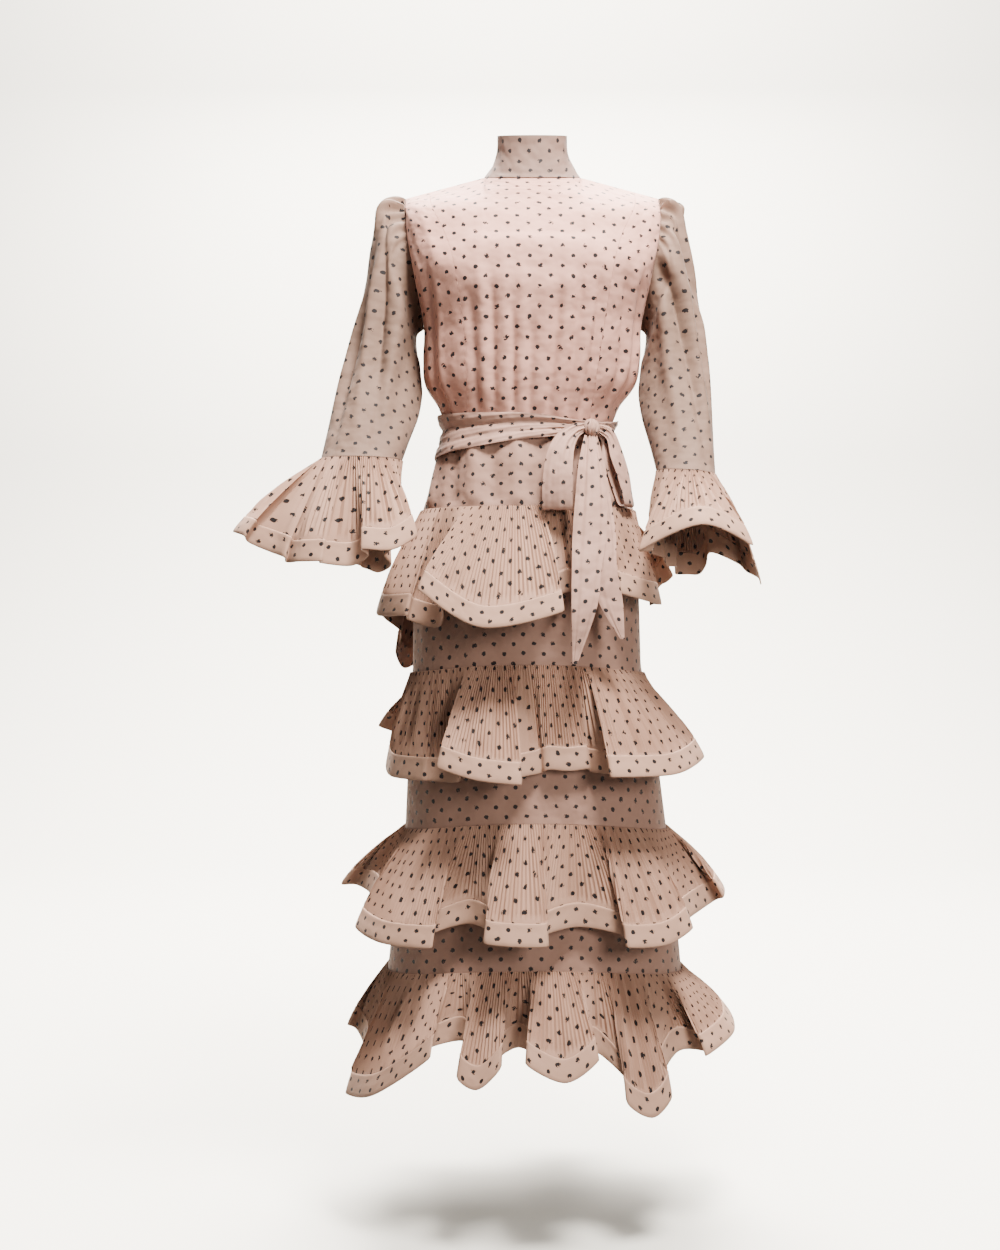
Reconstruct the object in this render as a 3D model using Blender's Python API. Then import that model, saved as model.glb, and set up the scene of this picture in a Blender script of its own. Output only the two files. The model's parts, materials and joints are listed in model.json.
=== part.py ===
"""Midi dress: stand collar, princess-seamed bodice, gathered sleeves with pleated cuffs, a tied
sash, and a skirt of four tubes with a pleated flounce at the foot of each.

Metres, +Z up. The front faces -Y, and left and right are the viewer's. The origin is where the
shoulders carry the dress: the middle of the neckline, at the height of the two neck points.
Every piece of cloth is a form, which is a function of a place across it and a place down it,
and a thin closed solid whose outer side lies on that form.
"""

import math
from collections import namedtuple

import bmesh
import bpy
from mathutils import Vector

BODICE_WALL = 0.0018
SKIRT_WALL = 0.0018
FLOUNCE_WALL = 0.0015
BAND_WALL = 0.0022
SASH_WALL = 0.0016
BOW_WALL = 0.0015
SEAM_GAP = 0.0003

BLUSH = (0.64, 0.44, 0.375)
SLEEVE_BEIGE = (0.50, 0.40, 0.33)
PLEAT_CREAM = (0.62, 0.46, 0.37)
TUBE_SHADE = (0.42, 0.29, 0.245)


def between(p0, p1, p2, p3, part):
    """Catmull-Rom value part of the way from p1 to p2."""
    return (p1 * 2 + (p2 - p0) * part
            + (p0 * 2 - p1 * 5 + p2 * 4 - p3) * part ** 2
            + (p1 * 3 - p0 - p2 * 3 + p3) * part ** 3) * 0.5


def along(values, part, ring=False):
    """Value part of the way, 0 to 1, along the smooth curve through evenly spaced values."""
    count = len(values)
    spans = count if ring else count - 1
    first = math.floor(part * spans)
    if not ring:
        first = min(max(first, 0), spans - 1)
    near = []
    for step in (-1, 0, 1, 2):
        index = first + step
        near.append(values[index % count if ring else min(max(index, 0), count - 1)])
    return between(*near, part * spans - first)


def signed_power(value, power):
    return math.copysign(abs(value) ** power, value)


def ease(part):
    """0 to 1 with a soft start and a soft end."""
    part = min(max(part, 0), 1)
    return part * part * (3 - 2 * part)


def outward(form, across, down, step=0.0005):
    """Unit normal of a form, on the side from which across runs right and down runs down."""
    right = form(across + step, down) - form(across - step, down)
    fall = form(across, down + step) - form(across, down - step)
    return fall.cross(right).normalized()


def finish(name, colour, roughness=0.6):
    """The part's own matt cloth material."""
    material = bpy.data.materials.new(name)
    material.use_nodes = True
    shader = material.node_tree.nodes["Principled BSDF"]
    shader.inputs["Base Color"].default_value = (*colour, 1)
    shader.inputs["Roughness"].default_value = roughness
    shader.inputs["Metallic"].default_value = 0
    return material


def add_object(name, mesh, colour):
    """Close a bmesh into a named object whose faces point out."""
    bmesh.ops.recalc_face_normals(mesh, faces=mesh.faces)
    if mesh.calc_volume(signed=True) < 0:
        bmesh.ops.reverse_faces(mesh, faces=mesh.faces)
    data = bpy.data.meshes.new(name)
    mesh.to_mesh(data)
    mesh.free()
    data.shade_smooth()
    data.set_sharp_from_angle(angle=math.radians(50))
    data.materials.append(finish(name, colour))
    thing = bpy.data.objects.new(name, data)
    bpy.context.collection.objects.link(thing)
    return thing


def shell(name, form, grid, wall, colour, ring=False, facing=1, ridge=False, level=False):
    """Thin closed solid on a grid of (across, down) places of a form, with its wall inside it.

    A ridge is a first row that meets another piece's first row at an angle: its wall runs down.
    A level wall runs straight in, so that its edges stay flat against the pieces above and below.
    """
    mesh = bmesh.new()
    outer = []
    inner = []
    for row in grid:
        outer.append([])
        inner.append([])
        for place in row:
            point = form(*place)
            out = outward(form, *place) * facing
            if ridge and row is grid[0]:
                out = Vector((0, 0, 1))
            if level:
                out = Vector((out.x, out.y, 0)).normalized()
            outer[-1].append(mesh.verts.new(point))
            inner[-1].append(mesh.verts.new(point - out * wall))
    last_row = len(grid) - 1
    columns = len(grid[0])
    spans = columns if ring else columns - 1
    for side in (outer, inner):
        for r in range(last_row):
            for c in range(spans):
                n = (c + 1) % columns
                mesh.faces.new((side[r][c], side[r][n], side[r + 1][n], side[r + 1][c]))
    for r in (0, last_row):
        for c in range(spans):
            n = (c + 1) % columns
            mesh.faces.new((outer[r][c], outer[r][n], inner[r][n], inner[r][c]))
    if not ring:
        for c in (0, columns - 1):
            for r in range(last_row):
                mesh.faces.new((outer[r][c], outer[r + 1][c], inner[r + 1][c], inner[r][c]))
    return add_object(name, mesh, colour)


def spread(start, end, count):
    """Evenly spaced values from start to end, both included."""
    return [start + (end - start) * i / (count - 1) for i in range(count)]


def ring_places(count):
    """Evenly spaced places round a ring, each once."""
    return [i / count for i in range(count)]


# The bodice. A row runs round the body from the centre to the armhole or the side seam; its
# height, depth and half-width are given there, square rounds its corner (2 is an ellipse), and
# seam_x is how far out the princess seam crosses it. The top row is the neckline and shoulders.
BodiceRow = namedtuple("BodiceRow", "centre_z edge_z edge_x centre_y edge_y square seam_x lean")
FRONT_ROWS = (
    BodiceRow(-0.019, -0.028, 0.185, -0.062, 0.010, 2.2, 0.150, 0.000),
    BodiceRow(-0.062, -0.060, 0.184, -0.092, -0.024, 2.2, 0.143, 0.000),
    BodiceRow(-0.105, -0.110, 0.178, -0.116, -0.046, 2.4, 0.124, 0.000),
    BodiceRow(-0.150, -0.165, 0.168, -0.134, -0.040, 2.7, 0.111, 0.000),
    BodiceRow(-0.215, -0.222, 0.158, -0.126, 0.000, 2.6, 0.101, 0.000),
    BodiceRow(-0.265, -0.265, 0.158, -0.117, 0.000, 2.4, 0.095, -0.001),
    BodiceRow(-0.305, -0.303, 0.1535, -0.110, 0.000, 2.3, 0.091, -0.003),
    BodiceRow(-0.338, -0.336, 0.132, -0.103, 0.000, 2.2, 0.088, -0.005),
    BodiceRow(-0.372, -0.372, 0.119, -0.093, 0.000, 2.2, 0.085, -0.006),
)
BACK_ROWS = (
    BodiceRow(0.006, -0.028, 0.185, 0.058, 0.010, 2.2, 0.0, 0.000),
    BodiceRow(-0.042, -0.060, 0.184, 0.086, 0.040, 2.2, 0.0, 0.000),
    BodiceRow(-0.095, -0.110, 0.178, 0.102, 0.060, 2.4, 0.0, 0.000),
    BodiceRow(-0.150, -0.165, 0.168, 0.108, 0.052, 2.4, 0.0, 0.000),
    BodiceRow(-0.215, -0.222, 0.158, 0.104, 0.000, 2.4, 0.0, 0.000),
    BodiceRow(-0.265, -0.265, 0.158, 0.098, 0.000, 2.3, 0.0, -0.001),
    BodiceRow(-0.305, -0.303, 0.1535, 0.093, 0.000, 2.3, 0.0, -0.003),
    BodiceRow(-0.338, -0.336, 0.132, 0.089, 0.000, 2.2, 0.0, -0.005),
    BodiceRow(-0.372, -0.372, 0.119, 0.083, 0.000, 2.2, 0.0, -0.006),
)
NECK_HALF_WIDTH = 0.070
NECK_STEPS = 4
UNDERARM = 0.5
GATHER_DEPTH = 0.0022
GATHER_START = 0.42
SHOULDER_GAP = 0.0006
FRONT_GATHERS = 6
BACK_GATHERS = 3
ACROSS_LENGTH = 0.18
SIDE_EDGE = 0.9992
PANEL_STATIONS = (0.50, 0.62, 0.75, 0.88, 1)
BACK_STATIONS = (0.36, 0.50, 0.64, 0.80, SIDE_EDGE)
SIDE_FRONT_COLUMNS = 6


def row_point(row, across, top):
    """Point of one row, across from -1 at the left edge to 1 at the right edge."""
    turn = across * math.pi / 2
    x = row.edge_x * signed_power(math.sin(turn), 2 / row.square)
    fore = abs(math.cos(turn)) ** (2 / row.square)
    y = row.edge_y + (row.centre_y - row.edge_y) * fore
    z = row.edge_z + (row.centre_z - row.edge_z) * fore
    if top:
        inside_neck = 1 - (x / NECK_HALF_WIDTH) ** 2
        if inside_neck > 0:
            y = row.centre_y * math.sqrt(inside_neck)
            z = row.centre_z * math.sqrt(inside_neck)
        else:
            out = (abs(x) - NECK_HALF_WIDTH) / (row.edge_x - NECK_HALF_WIDTH)
            y = row.edge_y * out
            z = row.edge_z * out
    return Vector((x + row.lean, y, z))


def across_at(row, x):
    """The across value at which a row is x from the middle."""
    return 2 / math.pi * math.asin((x / row.edge_x) ** (row.square / 2))


def bodice(rows, gathers):
    """Form of one side of the bodice: across -1 to 1, down 0 at the shoulder to 1 at the waist."""
    def form(across, down):
        points = [row_point(row, across, row is rows[0]) for row in rows]
        point = along(points, down)
        drawn_in = ease((down - GATHER_START) / (1 - GATHER_START))
        wave = math.cos(2 * math.pi * gathers * across) * (1 - abs(across) ** 3)
        depth = GATHER_DEPTH * drawn_in * wave
        return point + Vector((0, math.copysign(1, rows[0].centre_y) * depth, 0))
    return form


front = bodice(FRONT_ROWS, FRONT_GATHERS)
back = bodice(BACK_ROWS, BACK_GATHERS)


def princess_seam(down):
    """The across value of the princess seam at a place down the front."""
    return along([across_at(row, row.seam_x) for row in FRONT_ROWS], down)


def neck_stations():
    """Distances from the middle of the neckline's corners, which the collar shares."""
    return [NECK_HALF_WIDTH * math.sin(math.pi / 2 * i / NECK_STEPS) for i in range(NECK_STEPS + 1)]


def add_bodice():
    edge = SEAM_GAP / 2 / ACROSS_LENGTH
    neck = [across_at(FRONT_ROWS[0], x) / princess_seam(0) for x in neck_stations()]
    half = neck + list(PANEL_STATIONS)
    panel = [-value for value in reversed(half[1:])] + half
    downs = [SHOULDER_GAP] + spread(0, 1, len(FRONT_ROWS))[1:]
    grid = []
    for down in downs:
        reach = princess_seam(down) - edge
        grid.append([(value * reach, down) for value in panel])
    shell("centre_front", front, grid, BODICE_WALL, BLUSH, ridge=True)
    for name, sign in (("side_front_left", -1), ("side_front_right", 1)):
        grid = []
        for down in downs:
            start = princess_seam(down) + edge
            places = spread(start, SIDE_EDGE, SIDE_FRONT_COLUMNS)
            grid.append([(sign * value, down) for value in places])
        shell(name, front, grid, BODICE_WALL, BLUSH, ridge=True)
    neck = [across_at(BACK_ROWS[0], x) for x in neck_stations()[1:]]
    across = [edge] + neck + list(BACK_STATIONS)
    for name, sign in (("back_left", -1), ("back_right", 1)):
        grid = [[(sign * value, down) for value in across] for down in downs]
        shell(name, back, grid, BODICE_WALL, BLUSH, facing=-1, ridge=True)


# The stand collar, a band round the neck that leans in to its top edge.
COLLAR_TOP_HALF_WIDTH = 0.051
COLLAR_TOP_FRONT = -0.049
COLLAR_TOP_BACK = 0.046
COLLAR_TOP_FRONT_Z = 0.0465
COLLAR_TOP_SIDE_Z = 0.061
COLLAR_TOP_BACK_Z = 0.059
COLLAR_WAIST = 0.006
COLLAR_LENGTH = 0.35
COLLAR_DOWNS = (0, 0.33, 0.67, 1)


def oval(turn, half_width, front_y, back_y, front_z, back_z):
    """Point of a tilted oval: turn 0 is the front, a quarter is the right."""
    angle = turn * 2 * math.pi
    fore = math.cos(angle)
    y = (front_y if fore > 0 else back_y) * abs(fore)
    z = (front_z if fore > 0 else back_z) * abs(fore)
    return Vector((half_width * math.sin(angle), y, z))


def collar(turn, down):
    foot = oval(turn, NECK_HALF_WIDTH, FRONT_ROWS[0].centre_y, BACK_ROWS[0].centre_y,
                FRONT_ROWS[0].centre_z, BACK_ROWS[0].centre_z)
    foot.z += SEAM_GAP * 2
    top = oval(turn, COLLAR_TOP_HALF_WIDTH, COLLAR_TOP_FRONT, COLLAR_TOP_BACK,
               COLLAR_TOP_FRONT_Z - COLLAR_TOP_SIDE_Z, COLLAR_TOP_BACK_Z - COLLAR_TOP_SIDE_Z)
    top.z += COLLAR_TOP_SIDE_Z
    point = top.lerp(foot, down)
    hollow = 1 - COLLAR_WAIST / COLLAR_TOP_HALF_WIDTH * math.sin(math.pi * down)
    return Vector((point.x * hollow, point.y * hollow, point.z))


def add_collar():
    gap = SEAM_GAP / 2 / COLLAR_LENGTH
    turns = spread(-0.5, 0.5, NECK_STEPS * 4 + 1)
    turns[0] += gap
    turns[-1] -= gap
    grid = [[(turn, down) for turn in turns] for down in COLLAR_DOWNS]
    shell("collar", collar, grid, BODICE_WALL, BLUSH)


# The sleeves. The first row is the armhole; each later row is a section given by its outer and
# inner points in front view, its middle y and its half-depth.
SleeveRow = namedtuple("SleeveRow", "outer_x outer_z inner_x inner_z middle_y depth")
SLEEVE_ROWS = {
    "left": (
        SleeveRow(-0.219, -0.038, -0.169, -0.232, 0.006, 0.061),
        SleeveRow(-0.232, -0.092, -0.167, -0.264, 0.005, 0.068),
        SleeveRow(-0.248, -0.175, -0.1645, -0.292, 0.000, 0.067),
        SleeveRow(-0.266, -0.255, -0.1625, -0.322, -0.012, 0.063),
        SleeveRow(-0.284, -0.337, -0.169, -0.366, -0.044, 0.057),
        SleeveRow(-0.298, -0.420, -0.184, -0.422, -0.085, 0.050),
    ),
    "right": (
        SleeveRow(0.213, -0.042, 0.167, -0.232, 0.006, 0.059),
        SleeveRow(0.228, -0.098, 0.163, -0.262, 0.005, 0.064),
        SleeveRow(0.242, -0.172, 0.159, -0.292, 0.000, 0.062),
        SleeveRow(0.250, -0.252, 0.1565, -0.324, -0.014, 0.057),
        SleeveRow(0.254, -0.342, 0.162, -0.374, -0.048, 0.051),
        SleeveRow(0.2535, -0.443, 0.1715, -0.437, -0.095, 0.045),
    ),
}
CAP_GATHERS = 9
CAP_GATHER_DEPTH = 0.003
CAP_START = 0.125
CAP_FULL = 0.15
CAP_LENGTH = 0.5
SLEEVE_COLUMNS = 28
SLEEVE_DOWNS = (0, 0.08, 0.17, 0.30, 0.45, 0.62, 0.80, 1)
ARMHOLE_CLEARANCE = BODICE_WALL / 2 + SEAM_GAP


def armhole(side, turn):
    """Armhole edge: turn 0 is its front, 1/4 the shoulder tip, 1/2 its back, 3/4 the underarm."""
    turn = (turn + 0.25) % 1
    if turn < 0.5:
        point = front(side, UNDERARM * (1 - turn * 2))
    else:
        point = back(side, UNDERARM * (turn * 2 - 1))
    return point + Vector((side * ARMHOLE_CLEARANCE, 0, 0))


def section(row, turn):
    """Point of a sleeve section, with the same turns as the armhole."""
    outer = Vector((row.outer_x, row.middle_y, row.outer_z))
    inner = Vector((row.inner_x, row.middle_y, row.inner_z))
    angle = turn * 2 * math.pi
    middle = (outer + inner) / 2
    return middle + (outer - middle) * math.sin(angle) - Vector((0, row.depth, 0)) * math.cos(angle)


def sleeve(name):
    rows = SLEEVE_ROWS[name]
    side = math.copysign(1, rows[0].outer_x)

    def form(turn, down):
        points = [armhole(side, turn)] + [section(row, turn) for row in rows]
        point = along(points, down)
        crown = max(math.sin(turn * 2 * math.pi), 0)
        fade = ease(down / CAP_START) * (1 - ease((down - CAP_FULL) / CAP_LENGTH))
        lift = CAP_GATHER_DEPTH * crown * fade * math.cos(2 * math.pi * CAP_GATHERS * turn)
        middle = along([armhole(side, 0.25).lerp(armhole(side, 0.75), 0.5)]
                       + [section(row, 0.25).lerp(section(row, 0.75), 0.5) for row in rows], down)
        return point + (point - middle).normalized() * lift
    return form


def add_sleeves():
    for name, facing in (("left", -1), ("right", 1)):
        grid = [[(turn, down) for turn in ring_places(SLEEVE_COLUMNS)] for down in SLEEVE_DOWNS]
        shell("sleeve_" + name, sleeve(name), grid, BODICE_WALL, SLEEVE_BEIGE, ring=True,
              facing=facing)


# The skirt tubes, rings of half-width, front depth and back depth at a height.
SkirtRow = namedtuple("SkirtRow", "z half_width front_y back_y middle_x")
SKIRT_ROWS = (
    SkirtRow(-0.372, 0.119, 0.093, 0.083, -0.006),
    SkirtRow(-0.425, 0.134, 0.108, 0.104, -0.006),
    SkirtRow(-0.485, 0.153, 0.119, 0.124, -0.006),
    SkirtRow(-0.598, 0.164, 0.126, 0.134, -0.009),
    SkirtRow(-0.711, 0.166, 0.132, 0.140, -0.008),
    SkirtRow(-0.830, 0.180, 0.142, 0.148, 0.000),
    SkirtRow(-0.949, 0.190, 0.150, 0.156, 0.005),
    SkirtRow(-1.049, 0.203, 0.160, 0.166, 0.004),
    SkirtRow(-1.149, 0.213, 0.170, 0.176, 0.003),
)
SkirtSeam = namedtuple("SkirtSeam", "z front_rise")
SKIRT_SEAMS = (
    SkirtSeam(-0.372, 0.000),
    SkirtSeam(-0.488, 0.000),
    SkirtSeam(-0.722, 0.014),
    SkirtSeam(-0.946, 0.022),
    SkirtSeam(-1.148, 0.028),
)
SKIRT_SQUARE = 2.15
TUBE_LENGTH = 0.9
TUBE_COLUMNS = 15
TUBE_DOWNS = (0, 0.5, 1)


def row_at(rows, z):
    """The ring's sizes at a height; past either end of the table they stay as they are there."""
    low = 1
    while low < len(rows) - 1 and rows[low].z > z:
        low += 1
    upper, lower = rows[low - 1], rows[low]
    part = min(max((upper.z - z) / (upper.z - lower.z), 0), 1)
    return SkirtRow(z, *(a + (b - a) * part for a, b in zip(upper[1:], lower[1:])))


def ring_point(rows, angle, z, clear=0):
    """Point on a ring, or clear outside it: angle 0 is the front, a quarter turn the right."""
    row = row_at(rows, z)
    sine = signed_power(math.sin(angle), 2 / SKIRT_SQUARE)
    fore = signed_power(math.cos(angle), 2 / SKIRT_SQUARE)
    depth = (row.front_y if fore > 0 else row.back_y) + clear
    return Vector((row.middle_x + (row.half_width + clear) * sine, -depth * fore, z))


def seam_height(seam, angle):
    return seam.z + seam.front_rise * max(math.cos(angle), 0) ** 2


def tube(upper, lower):
    """Form of one skirt tube: across is the angle in turns, down from 0 to 1."""
    def form(across, down):
        angle = across * 2 * math.pi
        top = seam_height(upper, angle) - SEAM_GAP / 2
        bottom = seam_height(lower, angle) + SEAM_GAP / 2
        return ring_point(SKIRT_ROWS, angle, top + (bottom - top) * down)
    return form


def add_skirt_tubes():
    quarter = 0.25 - SEAM_GAP / 2 / TUBE_LENGTH
    for index in range(len(SKIRT_SEAMS) - 1):
        form = tube(SKIRT_SEAMS[index], SKIRT_SEAMS[index + 1])
        for side, middle in (("front", 0), ("back", 0.5)):
            turns = spread(middle - quarter, middle + quarter, TUBE_COLUMNS)
            grid = [[(turn, down) for turn in turns] for down in TUBE_DOWNS]
            name = "skirt_" + str(index + 1) + "_" + side
            shell(name, form, grid, SKIRT_WALL, TUBE_SHADE, level=True)


# The flounces. A row is one fold of the free edge: the angle of its middle and half its width in
# degrees, how far it stands out and hangs down there, how much its left and right ends rise, and
# then the hollow that follows it, by its angle, reach and drop. Angle 0 is the front and 90 the
# right. A fold's ends may pass beyond the hollow beside it, and then it hangs over that hollow.
Fold = namedtuple("Fold", "middle half reach drop rise_left rise_right "
                          "hollow hollow_reach hollow_drop")
TIER_FOLDS = (
    (
        Fold(-152, 11, 0.045, 0.165, 0.005, 0.005, -136, 0.012, 0.180),
        Fold(-115, 11, 0.036, 0.230, 0.010, 0.022, -98, 0.022, 0.175),
        Fold(-71, 21.5, 0.056, 0.152, 0.008, 0.000, -43, 0.012, 0.168),
        Fold(-13.5, 22.5, 0.084, 0.168, 0.050, 0.020, 17, 0.010, 0.120),
        Fold(26, 5, 0.030, 0.132, 0.005, 0.005, 35, 0.010, 0.120),
        Fold(54, 16, 0.040, 0.132, 0.010, -0.004, 84, 0.016, 0.135),
        Fold(116, 12, 0.068, 0.102, 0.010, 0.010, 138, 0.014, 0.120),
        Fold(158, 12, 0.050, 0.150, 0.005, 0.005, -176, 0.012, 0.150),
    ),
    (
        Fold(-167, 11, 0.045, 0.150, 0.005, 0.005, -151, 0.010, 0.120),
        Fold(-131, 13, 0.088, 0.088, 0.005, 0.002, -107, 0.014, 0.120),
        Fold(-67, 22, 0.034, 0.145, 0.008, 0.000, -32, 0.010, 0.147),
        Fold(-17, 13, 0.074, 0.136, 0.014, -0.006, 1, 0.010, 0.133),
        Fold(12, 7, 0.018, 0.129, 0.002, 0.002, 22, 0.010, 0.132),
        Fold(46, 24, 0.078, 0.133, 0.000, 0.016, 86, 0.024, 0.112),
        Fold(114, 12, 0.055, 0.130, 0.005, 0.005, 134, 0.012, 0.130),
        Fold(154, 12, 0.050, 0.150, 0.005, 0.005, 173, 0.010, 0.140),
    ),
    (
        Fold(-150, 12, 0.055, 0.138, 0.005, 0.005, -131, 0.020, 0.120),
        Fold(-108, 13, 0.090, 0.088, 0.006, -0.002, -83, 0.035, 0.098),
        Fold(-49, 19, 0.070, 0.138, 0.008, 0.002, -23, 0.020, 0.110),
        Fold(-6, 8, 0.070, 0.128, 0.003, 0.000, 13, 0.018, 0.113),
        Fold(37, 13, 0.070, 0.134, 0.001, 0.014, 62, 0.034, 0.117),
        Fold(95, 17, 0.076, 0.090, -0.004, 0.008, 124, 0.016, 0.115),
        Fold(154, 12, 0.055, 0.140, 0.005, 0.005, -176, 0.012, 0.130),
    ),
    (
        Fold(-142, 12, 0.055, 0.130, 0.005, 0.005, -127, 0.016, 0.115),
        Fold(-106, 12, 0.066, 0.106, 0.005, 0.012, -86, 0.034, 0.120),
        Fold(-49, 20, 0.075, 0.140, -0.020, 0.062, -24, 0.014, 0.066),
        Fold(-15, 6, 0.068, 0.113, 0.012, 0.028, -5.5, 0.016, 0.070),
        Fold(6, 8.5, 0.078, 0.099, 0.022, 0.026, 18.5, 0.018, 0.078),
        Fold(32, 8, 0.064, 0.159, 0.022, 0.022, 52, 0.030, 0.092),
        Fold(73, 20, 0.078, 0.078, -0.012, 0.006, 104, 0.024, 0.095),
        Fold(127, 12, 0.065, 0.126, 0.005, 0.005, 146, 0.014, 0.120),
        Fold(170, 13, 0.065, 0.138, 0.005, 0.005, -163, 0.014, 0.125),
    ),
)
CUFF_FOLDS = {
    "left": (
        Fold(-135, 16, 0.072, 0.130, 0.005, 0.000, -110, 0.058, 0.118),
        Fold(-80, 16, 0.121, 0.103, 0.000, -0.008, -60, 0.082, 0.132),
        Fold(-36, 15, 0.070, 0.147, 0.000, 0.000, -5, 0.028, 0.152),
        Fold(26, 21, 0.058, 0.131, 0.000, 0.020, 66, 0.006, 0.115),
        Fold(100, 10, -0.018, 0.128, 0.000, 0.000, 128, -0.018, 0.135),
        Fold(168, 11, 0.024, 0.156, 0.005, 0.005, -170, 0.012, 0.145),
    ),
    "right": (
        Fold(-152, 12, -0.006, 0.130, 0.000, 0.000, -122, -0.006, 0.118),
        Fold(-90, 10, 0.012, 0.112, 0.000, 0.000, -68, 0.022, 0.112),
        Fold(4, 46, 0.067, 0.080, -0.032, -0.024, 76, 0.044, 0.096),
        Fold(104, 14, 0.068, 0.146, -0.010, 0.010, 134, 0.016, 0.110),
        Fold(170, 14, 0.028, 0.140, 0.000, 0.000, -170, 0.010, 0.130),
    ),
}
COLUMNS_PER_FOLD = 8
FLOUNCE_ROWS = 4
SEAM_SHARE = 0.75
BELL = 1.25
BAND_HEIGHT = 0.033
BAND_PROUD = 0.0006
BAND_GAP = 0.0010
END_REACH = 0.94
ABOVE_EDGE = 0.98
CUFF_SEAM_GAP = 0.0008


def edge_places(folds):
    """Angle, reach, drop and seam angle of four places for each fold, round the free edge."""
    places = []
    for index, fold in enumerate(folds):
        following = folds[(index + 1) % len(folds)]
        next_middle = following.middle + (360 if index == len(folds) - 1 else 0)
        next_start = next_middle - following.half * SEAM_SHARE
        end = fold.middle + fold.half * SEAM_SHARE
        hollow = fold.hollow + (360 if fold.hollow < fold.middle else 0)
        reach = fold.reach * END_REACH
        places.append((fold.middle - fold.half, reach, fold.drop - fold.rise_left,
                       fold.middle - fold.half * SEAM_SHARE))
        places.append((fold.middle, fold.reach, fold.drop, fold.middle))
        places.append((fold.middle + fold.half, reach, fold.drop - fold.rise_right, end))
        places.append((hollow, fold.hollow_reach, fold.hollow_drop, (end + next_start) / 2))
    return places


def flounce(folds, seam_point, edge_point):
    """Form of a flounce: across 0 to 1 round it, down 0 at its seam to 1 at its free edge."""
    places = edge_places(folds)
    edges = [edge_point(math.radians(angle), reach, drop) for angle, reach, drop, _ in places]
    shifts = [seam - 360 * i / len(places) for i, (_, _, _, seam) in enumerate(places)]

    def form(across, down):
        seam_angle = math.radians(along(shifts, across, ring=True) + 360 * across)
        start = seam_point(seam_angle)
        end = along(edges, across, ring=True)
        out = 1 - (1 - min(down, 1)) ** BELL
        return Vector((start.x + (end.x - start.x) * out,
                       start.y + (end.y - start.y) * out,
                       start.z + (end.z - start.z) * down))
    return form


def add_flounce(names, form, columns, facing=1):
    """A flounce and the band along its free edge, which both lie on the form."""
    turns = ring_places(columns)
    lengths = [(form(turn, 1) - form(turn, 0)).length for turn in turns]
    grid = []
    for part in spread(0, 1, FLOUNCE_ROWS):
        grid.append([(turn, part * (1 - (BAND_HEIGHT + BAND_GAP) / length))
                     for turn, length in zip(turns, lengths)])
    shell(names[0], form, grid, FLOUNCE_WALL, PLEAT_CREAM, ring=True, facing=facing)

    def raised(across, down):
        return form(across, down) + outward(form, across, min(down, ABOVE_EDGE)) * facing * BAND_PROUD
    top = [(turn, 1 - BAND_HEIGHT / length) for turn, length in zip(turns, lengths)]
    grid = [top, [(turn, 1) for turn in turns]]
    shell(names[1], raised, grid, BAND_WALL, PLEAT_CREAM, ring=True, facing=facing)


def tier(index):
    seam = SKIRT_SEAMS[index + 1]
    sewn_on = FLOUNCE_WALL + SEAM_GAP * 3

    def seam_point(angle):
        return ring_point(SKIRT_ROWS, angle, seam_height(seam, angle), sewn_on)

    def edge_point(angle, reach, drop):
        return ring_point(SKIRT_ROWS, angle, seam.z - drop, reach)
    return flounce(TIER_FOLDS[index], seam_point, edge_point)


def add_tiers():
    for index in range(len(TIER_FOLDS)):
        names = ("flounce_" + str(index + 1), "flounce_band_" + str(index + 1))
        add_flounce(names, tier(index), len(TIER_FOLDS[index]) * COLUMNS_PER_FOLD)


def cuff(name):
    last = SLEEVE_ROWS[name][-1]
    middle = Vector(((last.outer_x + last.inner_x) / 2, last.middle_y,
                     (last.outer_z + last.inner_z) / 2))
    half_width = abs(last.outer_x - last.inner_x) / 2
    rise = (last.outer_z - last.inner_z) / (last.outer_x - last.inner_x)

    def seam_point(angle):
        x = half_width * math.sin(angle)
        return middle + Vector((x, -last.depth * math.cos(angle), x * rise - CUFF_SEAM_GAP))

    def edge_point(angle, reach, drop):
        x = (half_width + reach) * math.sin(angle)
        return middle + Vector((x, -(last.depth + reach) * math.cos(angle), -drop))
    return flounce(CUFF_FOLDS[name], seam_point, edge_point)


def add_cuffs():
    for name in ("left", "right"):
        names = ("cuff_flounce_" + name, "cuff_band_" + name)
        add_flounce(names, cuff(name), len(CUFF_FOLDS[name]) * COLUMNS_PER_FOLD)


# The sash, wrapped round the waist in soft folds that narrow to the knot. A row gives its top and
# bottom edge, every 30 degrees from the front.
SashRow = namedtuple("SashRow", "top bottom")
SASH_ROWS = (
    SashRow(-0.357, -0.394),
    SashRow(-0.365, -0.386),
    SashRow(-0.363, -0.389),
    SashRow(-0.355, -0.403),
    SashRow(-0.352, -0.408),
    SashRow(-0.351, -0.411),
    SashRow(-0.351, -0.412),
    SashRow(-0.350, -0.413),
    SashRow(-0.349, -0.414),
    SashRow(-0.348, -0.414),
    SashRow(-0.351, -0.410),
    SashRow(-0.354, -0.403),
)
SASH_LAYERS = 3
SASH_RIDGE = 0.0022
SASH_CLEAR = 0.0034
SASH_COLUMNS = 36
SASH_EDGE = 0.02
WAIST_ROWS = (SkirtRow(-0.338, 0.132, 0.103, 0.089, -0.005),) + SKIRT_ROWS[:2]


def sash(across, down):
    top = along([row.top for row in SASH_ROWS], across, ring=True)
    bottom = along([row.bottom for row in SASH_ROWS], across, ring=True)
    clear = SASH_WALL + SASH_CLEAR + SASH_RIDGE * abs(math.sin(math.pi * SASH_LAYERS * down))
    return ring_point(WAIST_ROWS, across * 2 * math.pi, top + (bottom - top) * down, clear)


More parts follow.
